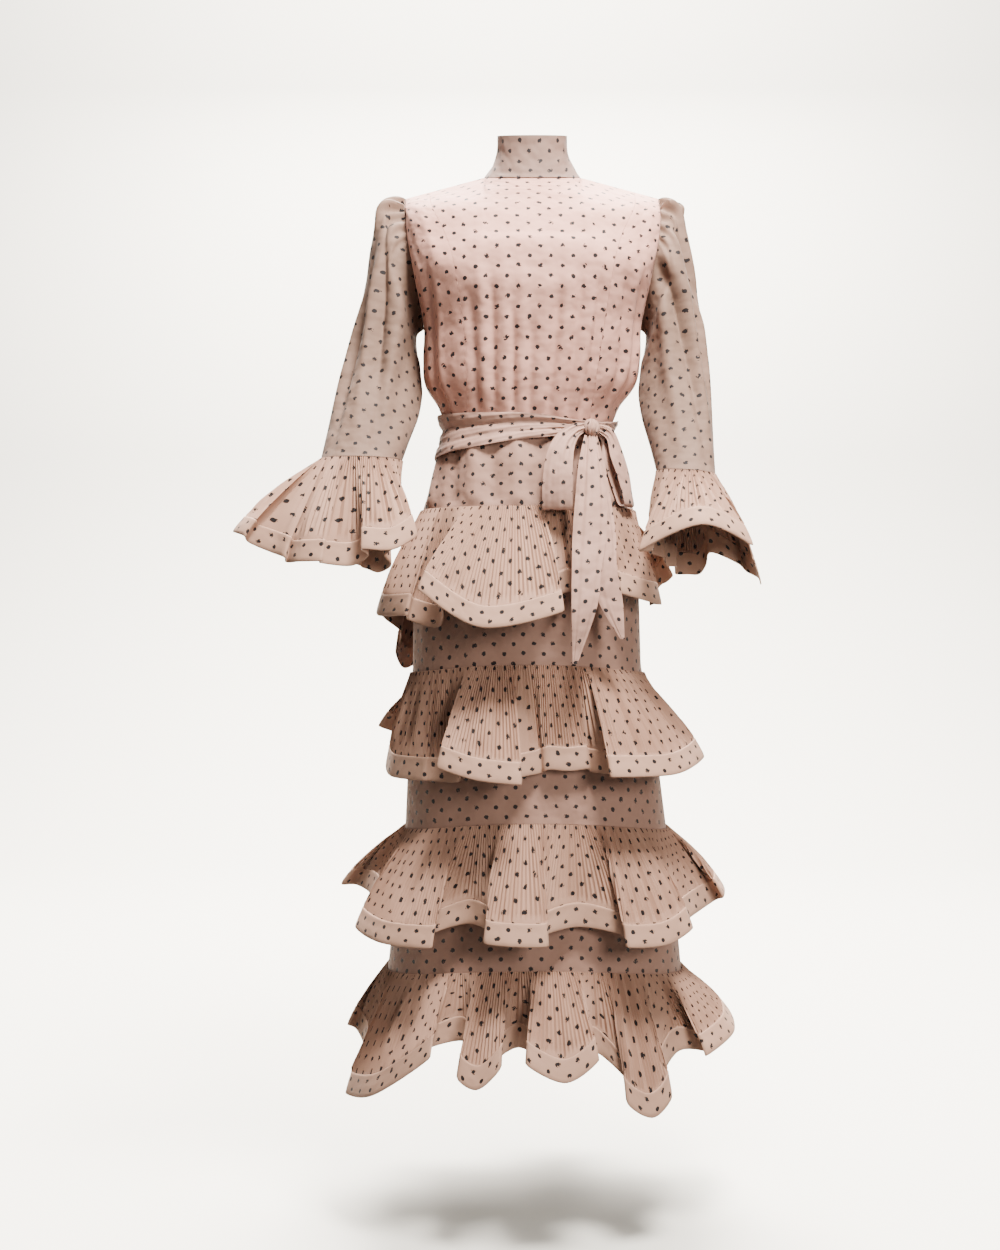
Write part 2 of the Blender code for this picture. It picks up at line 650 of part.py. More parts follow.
def add_sash():
    downs = spread(SASH_EDGE, 1 - SASH_EDGE, SASH_LAYERS * 2 + 1)
    grid = [[(turn, down) for turn in ring_places(SASH_COLUMNS)] for down in downs]
    shell("sash_wrap", sash, grid, SASH_WALL, BLUSH, ring=True)


# The bow. A ribbon row is a place on its middle line, its width, and the way its width runs: its
# angle round Z from +X, and its angle up. A loop's rows run down its front layer, which lies
# depth in front of the layer that comes back.
RibbonRow = namedtuple("RibbonRow", "x y z width turn rise depth")
KNOT_MIDDLE = (0.081, -0.0899, -0.3765)
KNOT_HALF = (0.0125, 0.0095, 0.0125)
KNOT_TURN = math.radians(40)
LOOPS = {
    "bow_loop_left": (
        RibbonRow(0.0702, -0.1025, -0.3770, 0.014, 10, -85, 0.009),
        RibbonRow(0.0570, -0.1160, -0.3840, 0.020, 5, -60, 0.012),
        RibbonRow(0.0430, -0.1330, -0.4000, 0.030, 0, -35, 0.017),
        RibbonRow(0.0345, -0.1460, -0.4250, 0.037, 0, -12, 0.020),
        RibbonRow(0.0315, -0.1510, -0.4600, 0.041, 0, 0, 0.019),
        RibbonRow(0.0315, -0.1490, -0.4920, 0.041, 0, 0, 0.012),
    ),
    "bow_loop_right": (
        RibbonRow(0.0936, -0.0850, -0.3765, 0.013, 40, 85, 0.009),
        RibbonRow(0.1090, -0.0805, -0.3850, 0.020, 45, 55, 0.011),
        RibbonRow(0.1190, -0.0815, -0.4120, 0.030, 50, 25, 0.013),
        RibbonRow(0.1290, -0.0790, -0.4400, 0.034, 55, 8, 0.014),
        RibbonRow(0.1350, -0.0770, -0.4660, 0.034, 60, 0, 0.013),
        RibbonRow(0.1380, -0.0760, -0.4840, 0.032, 60, 0, 0.009),
    ),
}
TAILS = {
    "sash_tail_front": (
        RibbonRow(0.080, -0.0945, -0.3882, 0.018, 15, 0, 0),
        RibbonRow(0.079, -0.120, -0.4300, 0.034, 10, 0, 0),
        RibbonRow(0.078, -0.138, -0.4800, 0.043, 5, 0, 0),
        RibbonRow(0.075, -0.155, -0.5300, 0.046, 5, 0, 0),
        RibbonRow(0.070, -0.173, -0.5800, 0.040, 5, 0, 0),
        RibbonRow(0.066, -0.186, -0.6300, 0.034, 5, 0, 0),
        RibbonRow(0.053, -0.190, -0.7050, 0.006, 5, 0, 0),
    ),
    "sash_tail_back": (
        RibbonRow(0.084, -0.0860, -0.3890, 0.016, 35, 0, 0),
        RibbonRow(0.089, -0.106, -0.4300, 0.026, 30, 0, 0),
        RibbonRow(0.094, -0.121, -0.4800, 0.032, 30, 0, 0),
        RibbonRow(0.098, -0.139, -0.5300, 0.034, 25, 0, 0),
        RibbonRow(0.099, -0.154, -0.5750, 0.030, 20, 0, 0),
        RibbonRow(0.104, -0.160, -0.6200, 0.036, 20, 0, 0),
        RibbonRow(0.119, -0.160, -0.6720, 0.006, 20, 0, 0),
    ),
}
RIBBON_CAMBER = 0.10
RIBBON_COLUMNS = 5
LOOP_ROWS = 23
TAIL_ROWS = 13
KNOT_COLUMNS = 14
KNOT_ROWS = 9


def facing_out(turn):
    return Vector((math.sin(math.radians(turn)), -math.cos(math.radians(turn)), 0))


def loop_rows(rows):
    """The rows down a loop's front layer, and then up the layer behind it."""
    behind = []
    for row in reversed(rows):
        back_point = Vector((row.x, row.y, row.z)) - facing_out(row.turn) * row.depth
        behind.append(row._replace(x=back_point.x, y=back_point.y))
    return rows + tuple(behind)


def ribbon(rows):
    """Form of a strip of cloth: across -1 to 1 over its width, down 0 to 1 along it."""
    middles = [Vector((row.x, row.y, row.z)) for row in rows]

    def form(across, down):
        turn = math.radians(along([row.turn for row in rows], down))
        rise = math.radians(along([row.rise for row in rows], down))
        width = along([row.width for row in rows], down)
        over = Vector((math.cos(turn) * math.cos(rise), math.sin(turn) * math.cos(rise),
                       math.sin(rise)))
        sag = facing_out(math.degrees(turn)) * width * RIBBON_CAMBER * across ** 2
        return along(middles, down) + over * width / 2 * across - sag
    return form


def add_bow():
    across = spread(-1, 1, RIBBON_COLUMNS)
    for name, rows in LOOPS.items():
        grid = [[(value, down) for value in across] for down in spread(0, 1, LOOP_ROWS)]
        shell(name, ribbon(loop_rows(rows)), grid, BOW_WALL, BLUSH)
    for name, rows in TAILS.items():
        grid = [[(value, down) for value in across] for down in spread(0, 1, TAIL_ROWS)]
        shell(name, ribbon(rows), grid, BOW_WALL, BLUSH)
    mesh = bmesh.new()
    bmesh.ops.create_uvsphere(mesh, u_segments=KNOT_COLUMNS, v_segments=KNOT_ROWS, radius=1)
    bmesh.ops.scale(mesh, vec=KNOT_HALF, verts=mesh.verts)
    knot = add_object("sash_knot", mesh, BLUSH)
    knot.rotation_euler.z = KNOT_TURN
    knot.location = KNOT_MIDDLE


def main():
    for thing in list(bpy.data.objects):
        bpy.data.objects.remove(thing)
    add_bodice()
    add_collar()
    add_sleeves()
    add_skirt_tubes()
    add_tiers()
    add_cuffs()
    add_sash()
    add_bow()


main()
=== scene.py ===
import json
import math
from collections import namedtuple

import bpy
import numpy as np
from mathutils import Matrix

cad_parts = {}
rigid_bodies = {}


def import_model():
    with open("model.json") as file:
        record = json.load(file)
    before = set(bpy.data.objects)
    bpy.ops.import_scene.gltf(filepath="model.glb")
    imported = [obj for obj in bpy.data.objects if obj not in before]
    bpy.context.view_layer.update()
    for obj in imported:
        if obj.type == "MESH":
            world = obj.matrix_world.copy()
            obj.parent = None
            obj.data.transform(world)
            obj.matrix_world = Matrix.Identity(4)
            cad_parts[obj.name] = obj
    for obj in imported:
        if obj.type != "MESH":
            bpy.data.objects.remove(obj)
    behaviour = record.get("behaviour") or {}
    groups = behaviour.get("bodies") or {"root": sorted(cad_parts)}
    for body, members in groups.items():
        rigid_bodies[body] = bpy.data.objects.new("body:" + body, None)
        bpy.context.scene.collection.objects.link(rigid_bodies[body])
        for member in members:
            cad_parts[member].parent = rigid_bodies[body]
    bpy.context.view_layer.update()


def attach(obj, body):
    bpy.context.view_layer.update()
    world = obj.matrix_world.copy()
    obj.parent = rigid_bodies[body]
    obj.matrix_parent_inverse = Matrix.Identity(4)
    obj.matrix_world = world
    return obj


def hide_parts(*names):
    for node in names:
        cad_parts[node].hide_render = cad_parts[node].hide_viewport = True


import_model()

# The photograph's camera: level, at the height of the thighs, and far enough for a long lens.
camera = bpy.data.objects.new("camera", bpy.data.cameras.new("camera"))
bpy.context.scene.collection.objects.link(camera)
camera.location = (-0.047, -2.2, -0.653)
camera.rotation_euler = (math.radians(90), 0, 0)
camera.data.sensor_width = 36
camera.data.lens = 43.4
bpy.context.scene.camera = camera

# The studio: a pale floor that sweeps up into its own backdrop, a small bright lamp above the
# chest, a broad one overhead that sets the soft shadow under the hem, a low one in front at the
# right, two for the floor and the backdrop, and a pale even room.
FLOOR_Z = -1.485
FLOOR_FRONT, FLOOR_BACK, FLOOR_SIDE = -6.0, 3.0, 7.0
BEND_RADIUS, BEND_STEPS = 1.6, 12
BACKDROP_TOP = 7.0
sweep = [(FLOOR_FRONT, 0.0), (FLOOR_BACK, 0.0)]
for step in range(1, BEND_STEPS + 1):
    angle = math.pi / 2 * step / BEND_STEPS
    sweep.append((FLOOR_BACK + BEND_RADIUS * math.sin(angle), BEND_RADIUS * (1 - math.cos(angle))))
sweep.append((FLOOR_BACK + BEND_RADIUS, BACKDROP_TOP))
points = [(x, y, FLOOR_Z + z) for x in (-FLOOR_SIDE, FLOOR_SIDE) for y, z in sweep]
faces = [(i, i + 1, i + 1 + len(sweep), i + len(sweep)) for i in range(len(sweep) - 1)]
floor_mesh = bpy.data.meshes.new("floor")
floor_mesh.from_pydata(points, [], faces)
floor_mesh.shade_smooth()
floor = bpy.data.objects.new("floor", floor_mesh)
bpy.context.scene.collection.objects.link(floor)
paper = bpy.data.materials.new("floor_paper")
paper.use_nodes = True
paper_inputs = paper.node_tree.nodes["Principled BSDF"].inputs
paper_inputs["Base Color"].default_value = (0.87, 0.832, 0.748, 1)
paper_inputs["Roughness"].default_value = 0.9
floor_mesh.materials.append(paper)
floor.visible_diffuse = False
LAMPS = (
    ("lamp_key", (0.32, -0.80, 1.05), (0.0, -0.15, -0.42), 0.5, 146),
    ("lamp_over", (0.1, -0.2, 2.8), (0.0, -0.1, -1.0), 2.5, 200),
    ("lamp_front", (1.5, -2.8, 0.1), (0.0, 0.0, -1.10), 0.9, 80),
    ("lamp_floor", (0.0, 2.6, 2.6), (0.0, 0.9, -1.5), 3.0, 1050),
    ("lamp_back", (0.0, 1.9, 3.4), (0.0, 4.6, 0.2), 3.0, 1100),
)
for name, place, target, size, power in LAMPS:
    lamp = bpy.data.objects.new(name, bpy.data.lights.new(name, "AREA"))
    bpy.context.scene.collection.objects.link(lamp)
    lamp.data.size = size
    lamp.data.energy = power
    lamp.data.color = (1.0, 0.97, 0.93)
    aim = [b - a for a, b in zip(place, target)]
    lamp.location = place
    lamp.rotation_euler = (math.atan2(math.hypot(aim[0], aim[1]), -aim[2]), 0,
                           math.atan2(-aim[0], aim[1]) if aim[0] or aim[1] else 0)
world = bpy.data.worlds.new("room")
world.use_nodes = True
world_inputs = world.node_tree.nodes["Background"].inputs
world_inputs["Color"].default_value = (1.0, 0.985, 0.955, 1)
world_inputs["Strength"].default_value = 0.28
bpy.context.scene.world = world


# The cloth. All of the dress is one printed crepe: small near-black spots in staggered rows on a
# dusty pink. Most pieces have their own copy of it, whose tone paints in the light and shade on
# that
# piece: painted shade makes it darker and greyer on the collar, the sleeves and the skirt's tubes,
# and painted light makes it lightest on the bodice and creamier on the pleats. The print and the
# weave follow each piece's own flat cut, whose metres are its UV map.
def node(tree, kind, links=(), **values):
    """A node with its inputs set by name or number, and its input sockets linked."""
    made = tree.nodes.new(kind)
    for key, value in values.items():
        if hasattr(made, key):
            setattr(made, key, value)
        else:
            made.inputs[key].default_value = value
    for socket, source in links:
        tree.links.new(source, made.inputs[socket])
    return made


def vector(tree, operation, first, second=None):
    """The result of a vector sum; the second value is a socket, three numbers or a scale."""
    made = node(tree, "ShaderNodeVectorMath", [(0, first)], operation=operation)
    if operation == "SCALE":
        made.inputs["Scale"].default_value = second
    elif isinstance(second, tuple):
        made.inputs[1].default_value = second
    elif second is not None:
        tree.links.new(second, made.inputs[1])
    return made.outputs["Value" if operation == "LENGTH" else "Vector"]


# A spot in metres: its radius, how soft its edge is and how far that wavers. The jitter is its
# distance out of place, as a share of the pitch.
SPOT_RADIUS, SPOT_EDGE, SPOT_WAVER, SPOT_JITTER = 0.0030, 0.0002, 0.0002, 0.10
SPOT_COLOUR = (0.006, 0.003, 0.003, 1)


def spots_group():
    """Mask of the printed spots: two square lattices of spots, each a little out of place."""
    tree = bpy.data.node_groups.new("spots", "ShaderNodeTree")
    face = tree.interface
    face.new_socket("Cloth", in_out="INPUT", socket_type="NodeSocketVector")
    for name, value in (("Pitch across", 0.030), ("Pitch down", 0.028), ("Radius", SPOT_RADIUS)):
        face.new_socket(name, in_out="INPUT", socket_type="NodeSocketFloat").default_value = value
    face.new_socket("Mask", in_out="OUTPUT", socket_type="NodeSocketFloat")
    start = node(tree, "NodeGroupInput")
    noise = node(tree, "ShaderNodeTexNoise", [("Vector", start.outputs["Cloth"])], Scale=260.0)
    waver = vector(tree, "SUBTRACT", noise.outputs["Color"], (0.5, 0.5, 0.5))
    place = vector(tree, "ADD", start.outputs["Cloth"], vector(tree, "SCALE", waver, SPOT_WAVER))
    pitch = node(tree, "ShaderNodeCombineXYZ", [("X", start.outputs["Pitch across"]),
                                                ("Y", start.outputs["Pitch down"])])
    pitch.inputs["Z"].default_value = 1.0
    cells = vector(tree, "DIVIDE", place, pitch.outputs[0])
    distances = []
    for half, seed in ((0.0, 3.0), (0.5, 11.0)):
        moved = vector(tree, "ADD", cells, (half, half, 0.0))
        cell = vector(tree, "FLOOR", moved)
        chance = node(tree, "ShaderNodeTexWhiteNoise",
                      [("Vector", vector(tree, "ADD", cell, (seed, seed, seed)))])
        off = vector(tree, "SUBTRACT", chance.outputs["Color"], (0.5, 0.5, 0.5))
        inside = vector(tree, "SUBTRACT", moved, cell)
        centred = vector(tree, "SUBTRACT", inside, (0.5, 0.5, 0.0))
        placed = vector(tree, "SUBTRACT", centred, vector(tree, "SCALE", off, SPOT_JITTER))
        metres = vector(tree, "MULTIPLY", placed, pitch.outputs[0])
        distances.append(vector(tree, "LENGTH", vector(tree, "MULTIPLY", metres, (1.0, 1.0, 0.0))))
    nearest = node(tree, "ShaderNodeMath", [(0, distances[0]), (1, distances[1])],
                   operation="MINIMUM")
    rims = []
    for operation in ("SUBTRACT", "ADD"):
        rims.append(node(tree, "ShaderNodeMath", [(0, start.outputs["Radius"])],
                         operation=operation))
        rims[-1].inputs[1].default_value = SPOT_EDGE
    mask = node(tree, "ShaderNodeMapRange", [("Value", nearest.outputs[0]),
                                             ("From Min", rims[0].outputs[0]),
                                             ("From Max", rims[1].outputs[0])],
                interpolation_type="SMOOTHSTEP")
    mask.inputs["To Min"].default_value = 1.0
    mask.inputs["To Max"].default_value = 0.0
    node(tree, "NodeGroupOutput", [("Mask", mask.outputs["Result"])])
    return tree


def grain_group():
    """Normal of the crepe: a fine pebbled weave over soft handling creases."""
    tree = bpy.data.node_groups.new("crepe_grain", "ShaderNodeTree")
    face = tree.interface
    face.new_socket("Cloth", in_out="INPUT", socket_type="NodeSocketVector")
    face.new_socket("Creases", in_out="INPUT", socket_type="NodeSocketFloat").default_value = 0.5
    face.new_socket("Normal", in_out="OUTPUT", socket_type="NodeSocketVector")
    start = node(tree, "NodeGroupInput")
    soft = node(tree, "ShaderNodeTexNoise", [("Vector", start.outputs["Cloth"])],
                Scale=26.0, Detail=2.0)
    first = node(tree, "ShaderNodeBump", [("Strength", start.outputs["Creases"]),
                                          ("Height", soft.outputs["Fac"])], Distance=0.012)
    pebble = node(tree, "ShaderNodeTexNoise", [("Vector", start.outputs["Cloth"])],
                  Scale=1500.0, Detail=2.0)
    second = node(tree, "ShaderNodeBump", [("Height", pebble.outputs["Fac"]),
                                           ("Normal", first.outputs["Normal"])],
                  Strength=0.35, Distance=0.0004)
    node(tree, "NodeGroupOutput", [("Normal", second.outputs["Normal"])])
    return tree


spots = spots_group()
grain = grain_group()


def crepe(name, light, dark, pitch=(0.030, 0.028), creases=0.5, sheen=0.04):
    """Crepe whose colour drifts between two tones, printed with the spots."""
    material = bpy.data.materials.new(name)
    material.use_nodes = True
    tree = material.node_tree
    shader = tree.nodes["Principled BSDF"]
    uv = node(tree, "ShaderNodeUVMap", uv_map="cloth")
    print_mask = node(tree, "ShaderNodeGroup", node_tree=spots)
    tree.links.new(uv.outputs["UV"], print_mask.inputs["Cloth"])
    print_mask.inputs["Pitch across"].default_value = pitch[0]
    print_mask.inputs["Pitch down"].default_value = pitch[1]
    drift = node(tree, "ShaderNodeTexNoise", [("Vector", uv.outputs["UV"])], Scale=9.0, Detail=1.5)
    tone = node(tree, "ShaderNodeMix", [("Factor", drift.outputs["Fac"])], data_type="RGBA")
    tone.inputs["A"].default_value = (*dark, 1)
    tone.inputs["B"].default_value = (*light, 1)
    printed = node(tree, "ShaderNodeMix", [("Factor", print_mask.outputs["Mask"]),
                                           ("A", tone.outputs["Result"])], data_type="RGBA")
    printed.inputs["B"].default_value = SPOT_COLOUR
    weave = node(tree, "ShaderNodeGroup", node_tree=grain)
    tree.links.new(uv.outputs["UV"], weave.inputs["Cloth"])
    weave.inputs["Creases"].default_value = creases
    tree.links.new(printed.outputs["Result"], shader.inputs["Base Color"])
    tree.links.new(weave.outputs["Normal"], shader.inputs["Normal"])
    shader.inputs["Roughness"].default_value = 0.72
    shader.inputs["Specular IOR Level"].default_value = 0.2
    shader.inputs["Sheen Weight"].default_value = sheen
    shader.inputs["Sheen Roughness"].default_value = 0.5
    return material


# The ways that every piece is made: smooth curves through the sections' sizes, and a thin closed
# cloth on a grid of points, with its flat cut in metres as its UV map.
CLOTH_WALL, COLLAR_WALL, SASH_WALL, BOW_WALL, PLEAT_WALL = 0.0006, 0.0014, 0.0012, 0.0007, 0.0005
SHARP_ANGLE = math.radians(62)


def along(values, part, ring=False):
    """Catmull-Rom values at parts, 0 to 1, of the way through evenly spaced values."""
    values = np.asarray(values, float)
    count = len(values)
    spans = count if ring else count - 1
    place = np.asarray(part, float) * spans
    first = np.floor(place).astype(int)
    if not ring:
        first = np.clip(first, 0, spans - 1)
    rest = (place - first).reshape(place.shape + (1,) * (values.ndim - 1))
    near = []
    for step in (-1, 0, 1, 2):
        index = (first + step) % count if ring else np.clip(first + step, 0, count - 1)
        near.append(values[index])
    a, b, c, d = near
    return 0.5 * (b * 2 + (c - a) * rest + (a * 2 - b * 5 + c * 4 - d) * rest ** 2
                  + (b * 3 - a - c * 3 + d) * rest ** 3)


def ease(part):
    part = np.clip(part, 0, 1)
    return part * part * (3 - 2 * part)


def named_rows(kind, rows):
    return tuple(kind(*row) for row in rows)


def running(steps):
    return np.concatenate([[0], np.cumsum(steps)])


def fallen(grid):
    """How far each row lies below the first, measured along the cloth."""
    return running(np.linalg.norm(np.diff(grid, axis=0), axis=2).mean(axis=1))


def square_cut(run, grid):
    """The flat cut of a straight strip: places along it, and down as its rows have fallen."""
    return np.stack(np.meshgrid(run, -fallen(grid)), axis=2)


def normals(grid, ring, facing):
    """Unit normals of a grid of points, rows running down and columns to the right."""
    if ring:
        right = np.roll(grid, -1, axis=1) - np.roll(grid, 1, axis=1)
    else:
        right = np.gradient(grid, axis=1)
    out = np.cross(np.gradient(grid, axis=0), right)
    return facing * out / np.maximum(np.linalg.norm(out, axis=2, keepdims=True), 1e-12)


def flat_cut(grid, ring):
    """The cloth's own metres at each point: along its rows from their middle, and down."""
    closed = np.concatenate([grid, grid[:, :1]], axis=1) if ring else grid
    steps = np.linalg.norm(np.diff(closed, axis=1), axis=2)
    across = np.concatenate([np.zeros((len(grid), 1)), np.cumsum(steps, axis=1)], axis=1)
    across = across - across[:, across.shape[1] // 2, None]
    down = np.repeat(-fallen(closed)[:, None], across.shape[1], axis=1)
    return np.stack([across, down], axis=2)


def printed_at(cut):
    """The cut's places on the print; each piece was cut from another part of the cloth."""
    return cut + np.array((0.0113, 0.0067)) * len(bpy.data.objects)


def add_piece(name, points, faces, maps, cut, material):
    """A mesh that stands for its CAD node; maps are the places of its faces' corners in the cut."""
    mesh = bpy.data.meshes.new(name + "_cloth")
    mesh.from_pydata(points, [], faces)
    layer = mesh.uv_layers.new(name="cloth")
    places = printed_at(cut).reshape(-1, 2)[maps.reshape(-1)]
    layer.uv.foreach_set("vector", places.astype(np.float32).ravel())
    mesh.shade_smooth()
    mesh.materials.append(material)
    piece = bpy.data.objects.new(name + "_cloth", mesh)
    bpy.context.scene.collection.objects.link(piece)
    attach(piece, "root")
    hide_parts(name)
    return piece


def quads(rows, columns, ring, closed=False):
    """The corners of a grid's faces, and the places of those corners in its flat cut. A ring goes
    round along its rows; a closed grid also joins its last row to its first."""
    r, c = np.meshgrid(np.arange(rows if closed else rows - 1),
                       np.arange(columns if ring else columns - 1), indexing="ij")
    n = (c + 1) % columns
    s = (r + 1) % rows
    wide = columns + 1 if ring else columns
    corner = np.stack([r * columns + c, r * columns + n, s * columns + n, s * columns + c], axis=2)
    flat = np.stack([r * wide + c, r * wide + c + 1, (r + 1) * wide + c + 1, (r + 1) * wide + c],
                    axis=2)
    return corner.reshape(-1, 4), flat.reshape(-1, 4)


def cloth(name, grid, material, cut=None, wall=CLOTH_WALL, ring=False, facing=1):
    """A thin closed piece of cloth whose outer side is the grid; it stands for its CAD node."""
    rows, columns = grid.shape[:2]
    cut = flat_cut(grid, ring) if cut is None else cut
    out = normals(grid, ring, facing)
    points = np.concatenate([grid.reshape(-1, 3), (grid - out * wall).reshape(-1, 3)])
    corner, flat = quads(rows, columns, ring)
    wide = cut.shape[1]
    back = rows * columns
    faces = [corner if facing < 0 else corner[:, ::-1],
             (corner if facing > 0 else corner[:, ::-1]) + back]
    maps = [flat if facing < 0 else flat[:, ::-1], flat if facing > 0 else flat[:, ::-1]]
    for row, turned in ((0, False), (rows - 1, True)):
        c = np.arange(columns if ring else columns - 1)
        n = (c + 1) % columns
        edge = np.stack([row * columns + c, row * columns + n, back + row * columns + n,
                         back + row * columns + c], axis=1)
        uv = np.stack([row * wide + c, row * wide + c + 1, row * wide + c + 1, row * wide + c],
                      axis=1)
        faces.append(edge[:, ::-1] if turned == (facing > 0) else edge)
        maps.append(uv[:, ::-1] if turned == (facing > 0) else uv)
    if not ring:
        for column, turned in ((0, True), (columns - 1, False)):
            r = np.arange(rows - 1)
            top = r * columns + column
            edge = np.stack([top, top + columns, back + top + columns, back + top], axis=1)
            top = r * wide + column
            uv = np.stack([top, top + wide, top + wide, top], axis=1)
            faces.append(edge if turned == (facing < 0) else edge[:, ::-1])
            maps.append(uv if turned == (facing < 0) else uv[:, ::-1])
    piece = add_piece(name, points, np.concatenate(faces), np.concatenate(maps), cut, material)
    piece.data.set_sharp_from_angle(angle=SHARP_ANGLE)


Crease = namedtuple("Crease", "u0 v0 u1 v1 width depth")


def creased(cut, columns, table):
    """How far the listed creases move the cloth out: each runs from one place of the cut to
    another, with its own width and height, and dies away at both ends."""
    u, v = cut[:, :columns, 0], cut[:, :columns, 1]
    moved = np.zeros(u.shape)
    for row in table:
        run = np.array([row.u1 - row.u0, row.v1 - row.v0])
        long = float(run @ run)
        part = ((u - row.u0) * run[0] + (v - row.v0) * run[1]) / long
        away = np.hypot(u - row.u0 - part * run[0], v - row.v0 - part * run[1])
        ends = ease(part / 0.25 + 0.4) * ease((1 - part) / 0.25 + 0.4)
        moved += row.depth * np.exp(-(away / row.width) ** 2) * ends
    return moved[..., None]


# The bodice: a princess-seamed front in three panels and a plain back in two, cut in crepe and
# stitched together at the seams. Its fullness is drawn in to the waist in soft upright gathers.
BodiceRow = namedtuple("BodiceRow", "centre_z edge_z edge_x centre_y edge_y square seam_x lean")
FRONT_ROWS = named_rows(BodiceRow, (
    (-0.019, -0.028, 0.185, -0.062, 0.010, 2.2, 0.150, 0.000),
    (-0.062, -0.060, 0.184, -0.092, -0.024, 2.2, 0.143, 0.000),
    (-0.105, -0.110, 0.178, -0.116, -0.046, 2.4, 0.124, 0.000),
    (-0.150, -0.165, 0.168, -0.134, -0.040, 2.7, 0.111, 0.000),
    (-0.215, -0.222, 0.158, -0.126, 0.000, 2.6, 0.101, 0.000),
    (-0.265, -0.265, 0.158, -0.117, 0.000, 2.4, 0.095, -0.001),
    (-0.305, -0.303, 0.1535, -0.110, 0.000, 2.3, 0.091, -0.003),
    (-0.338, -0.336, 0.132, -0.103, 0.000, 2.2, 0.088, -0.005),
    (-0.372, -0.372, 0.119, -0.093, 0.000, 2.2, 0.085, -0.006),
))
BACK_ROWS = named_rows(BodiceRow, (
    (0.006, -0.028, 0.185, 0.058, 0.010, 2.2, 0.0, 0.000),
    (-0.042, -0.060, 0.184, 0.086, 0.040, 2.2, 0.0, 0.000),
    (-0.095, -0.110, 0.178, 0.102, 0.060, 2.4, 0.0, 0.000),
    (-0.150, -0.165, 0.168, 0.108, 0.052, 2.4, 0.0, 0.000),
    (-0.215, -0.222, 0.158, 0.104, 0.000, 2.4, 0.0, 0.000),
    (-0.265, -0.265, 0.158, 0.098, 0.000, 2.3, 0.0, -0.001),
    (-0.305, -0.303, 0.1535, 0.093, 0.000, 2.3, 0.0, -0.003),
    (-0.338, -0.336, 0.132, 0.089, 0.000, 2.2, 0.0, -0.005),
    (-0.372, -0.372, 0.119, 0.083, 0.000, 2.2, 0.0, -0.006),
))
NECK_HALF_WIDTH = 0.070
SHOULDER_GAP = 0.0006
SEAM_EDGE = 0.0008
SIDE_EDGE = 1 - SEAM_EDGE
# How far down the bodice each row of a panel's points lies.
PANEL_DOWNS = np.linspace(0, 1, 96)
PANEL_DOWNS[0] = SHOULDER_GAP
FRONT_CREASES = named_rows(Crease, (
    (-0.095, -0.230, -0.076, -0.400, 0.007, -0.0030),
    (-0.080, -0.190, -0.064, -0.400, 0.008, 0.0026),
    (-0.064, -0.215, -0.051, -0.400, 0.006, -0.0030),
    (-0.046, -0.180, -0.036, -0.400, 0.010, 0.0024),
    (-0.034, -0.250, -0.024, -0.400, 0.005, -0.0034),
    (-0.020, -0.200, -0.013, -0.400, 0.008, 0.0024),
    (-0.006, -0.270, -0.002, -0.400, 0.005, -0.0026),
    (0.014, -0.210, 0.010, -0.400, 0.010, 0.0022),
    (0.031, -0.235, 0.024, -0.400, 0.006, -0.0032),
    (0.046, -0.185, 0.036, -0.400, 0.009, 0.0026),
    (0.063, -0.205, 0.050, -0.400, 0.006, -0.0034),
    (0.080, -0.240, 0.062, -0.400, 0.007, 0.0026),
    (0.093, -0.195, 0.074, -0.400, 0.005, -0.0026),
    (-0.085, -0.158, 0.085, -0.160, 0.012, 0.0028),
    (-0.085, -0.196, 0.085, -0.198, 0.018, -0.0024),
    (-0.070, -0.120, -0.095, -0.230, 0.009, 0.0014),
    (0.070, -0.115, 0.098, -0.230, 0.009, 0.0014),
    (-0.045, -0.022, -0.062, -0.075, 0.007, 0.0012),
    (0.050, -0.030, 0.078, -0.090, 0.008, 0.0012),
    (-0.030, -0.050, 0.060, -0.062, 0.010, 0.0010),
))
SIDE_CREASES = named_rows(Crease, (
    (-0.030, -0.190, -0.022, -0.380, 0.007, -0.0034),
    (-0.014, -0.170, -0.010, -0.380, 0.007, 0.0032),
    (0.004, -0.180, 0.003, -0.380, 0.006, -0.0034),
    (0.020, -0.200, 0.015, -0.380, 0.007, 0.0028),
    (-0.028, -0.060, -0.006, -0.170, 0.008, -0.0016),
    (0.016, -0.070, 0.024, -0.170, 0.008, 0.0016),
))
BACK_CREASES = named_rows(Crease, (
    (-0.050, -0.190, -0.040, -0.370, 0.011, -0.0022),
    (-0.024, -0.160, -0.020, -0.370, 0.010, 0.0020),
    (0.006, -0.210, 0.004, -0.370, 0.009, -0.0020),
    (0.030, -0.180, 0.024, -0.370, 0.010, 0.0018),
    (-0.030, -0.070, 0.050, -0.110, 0.014, 0.0010),
))


def signed_power(value, power):
    return np.sign(value) * np.abs(value) ** power


def row_point(row, across, top):
    turn = across * math.pi / 2
    x = row.edge_x * signed_power(np.sin(turn), 2 / row.square)
    fore = np.abs(np.cos(turn)) ** (2 / row.square)
    y = row.edge_y + (row.centre_y - row.edge_y) * fore
    z = row.edge_z + (row.centre_z - row.edge_z) * fore
    if top:
        inside = 1 - (x / NECK_HALF_WIDTH) ** 2
        root = np.sqrt(np.maximum(inside, 0))
        out = (np.abs(x) - NECK_HALF_WIDTH) / (row.edge_x - NECK_HALF_WIDTH)
        y = np.where(inside > 0, row.centre_y * root, row.edge_y * out)
        z = np.where(inside > 0, row.centre_z * root, row.edge_z * out)
    return np.stack([x + row.lean, y, z], axis=-1)


def bodice(rows, across, down):
    """A row of points round one side of the bodice, down 0 at the shoulder to 1 at the waist."""
    across = np.asarray(across, float)
    return along([row_point(row, across, row is rows[0]) for row in rows], down)


def princess_seam(down):
    values = [2 / math.pi * math.asin((row.seam_x / row.edge_x) ** (row.square / 2))
              for row in FRONT_ROWS]
    return along(values, down)


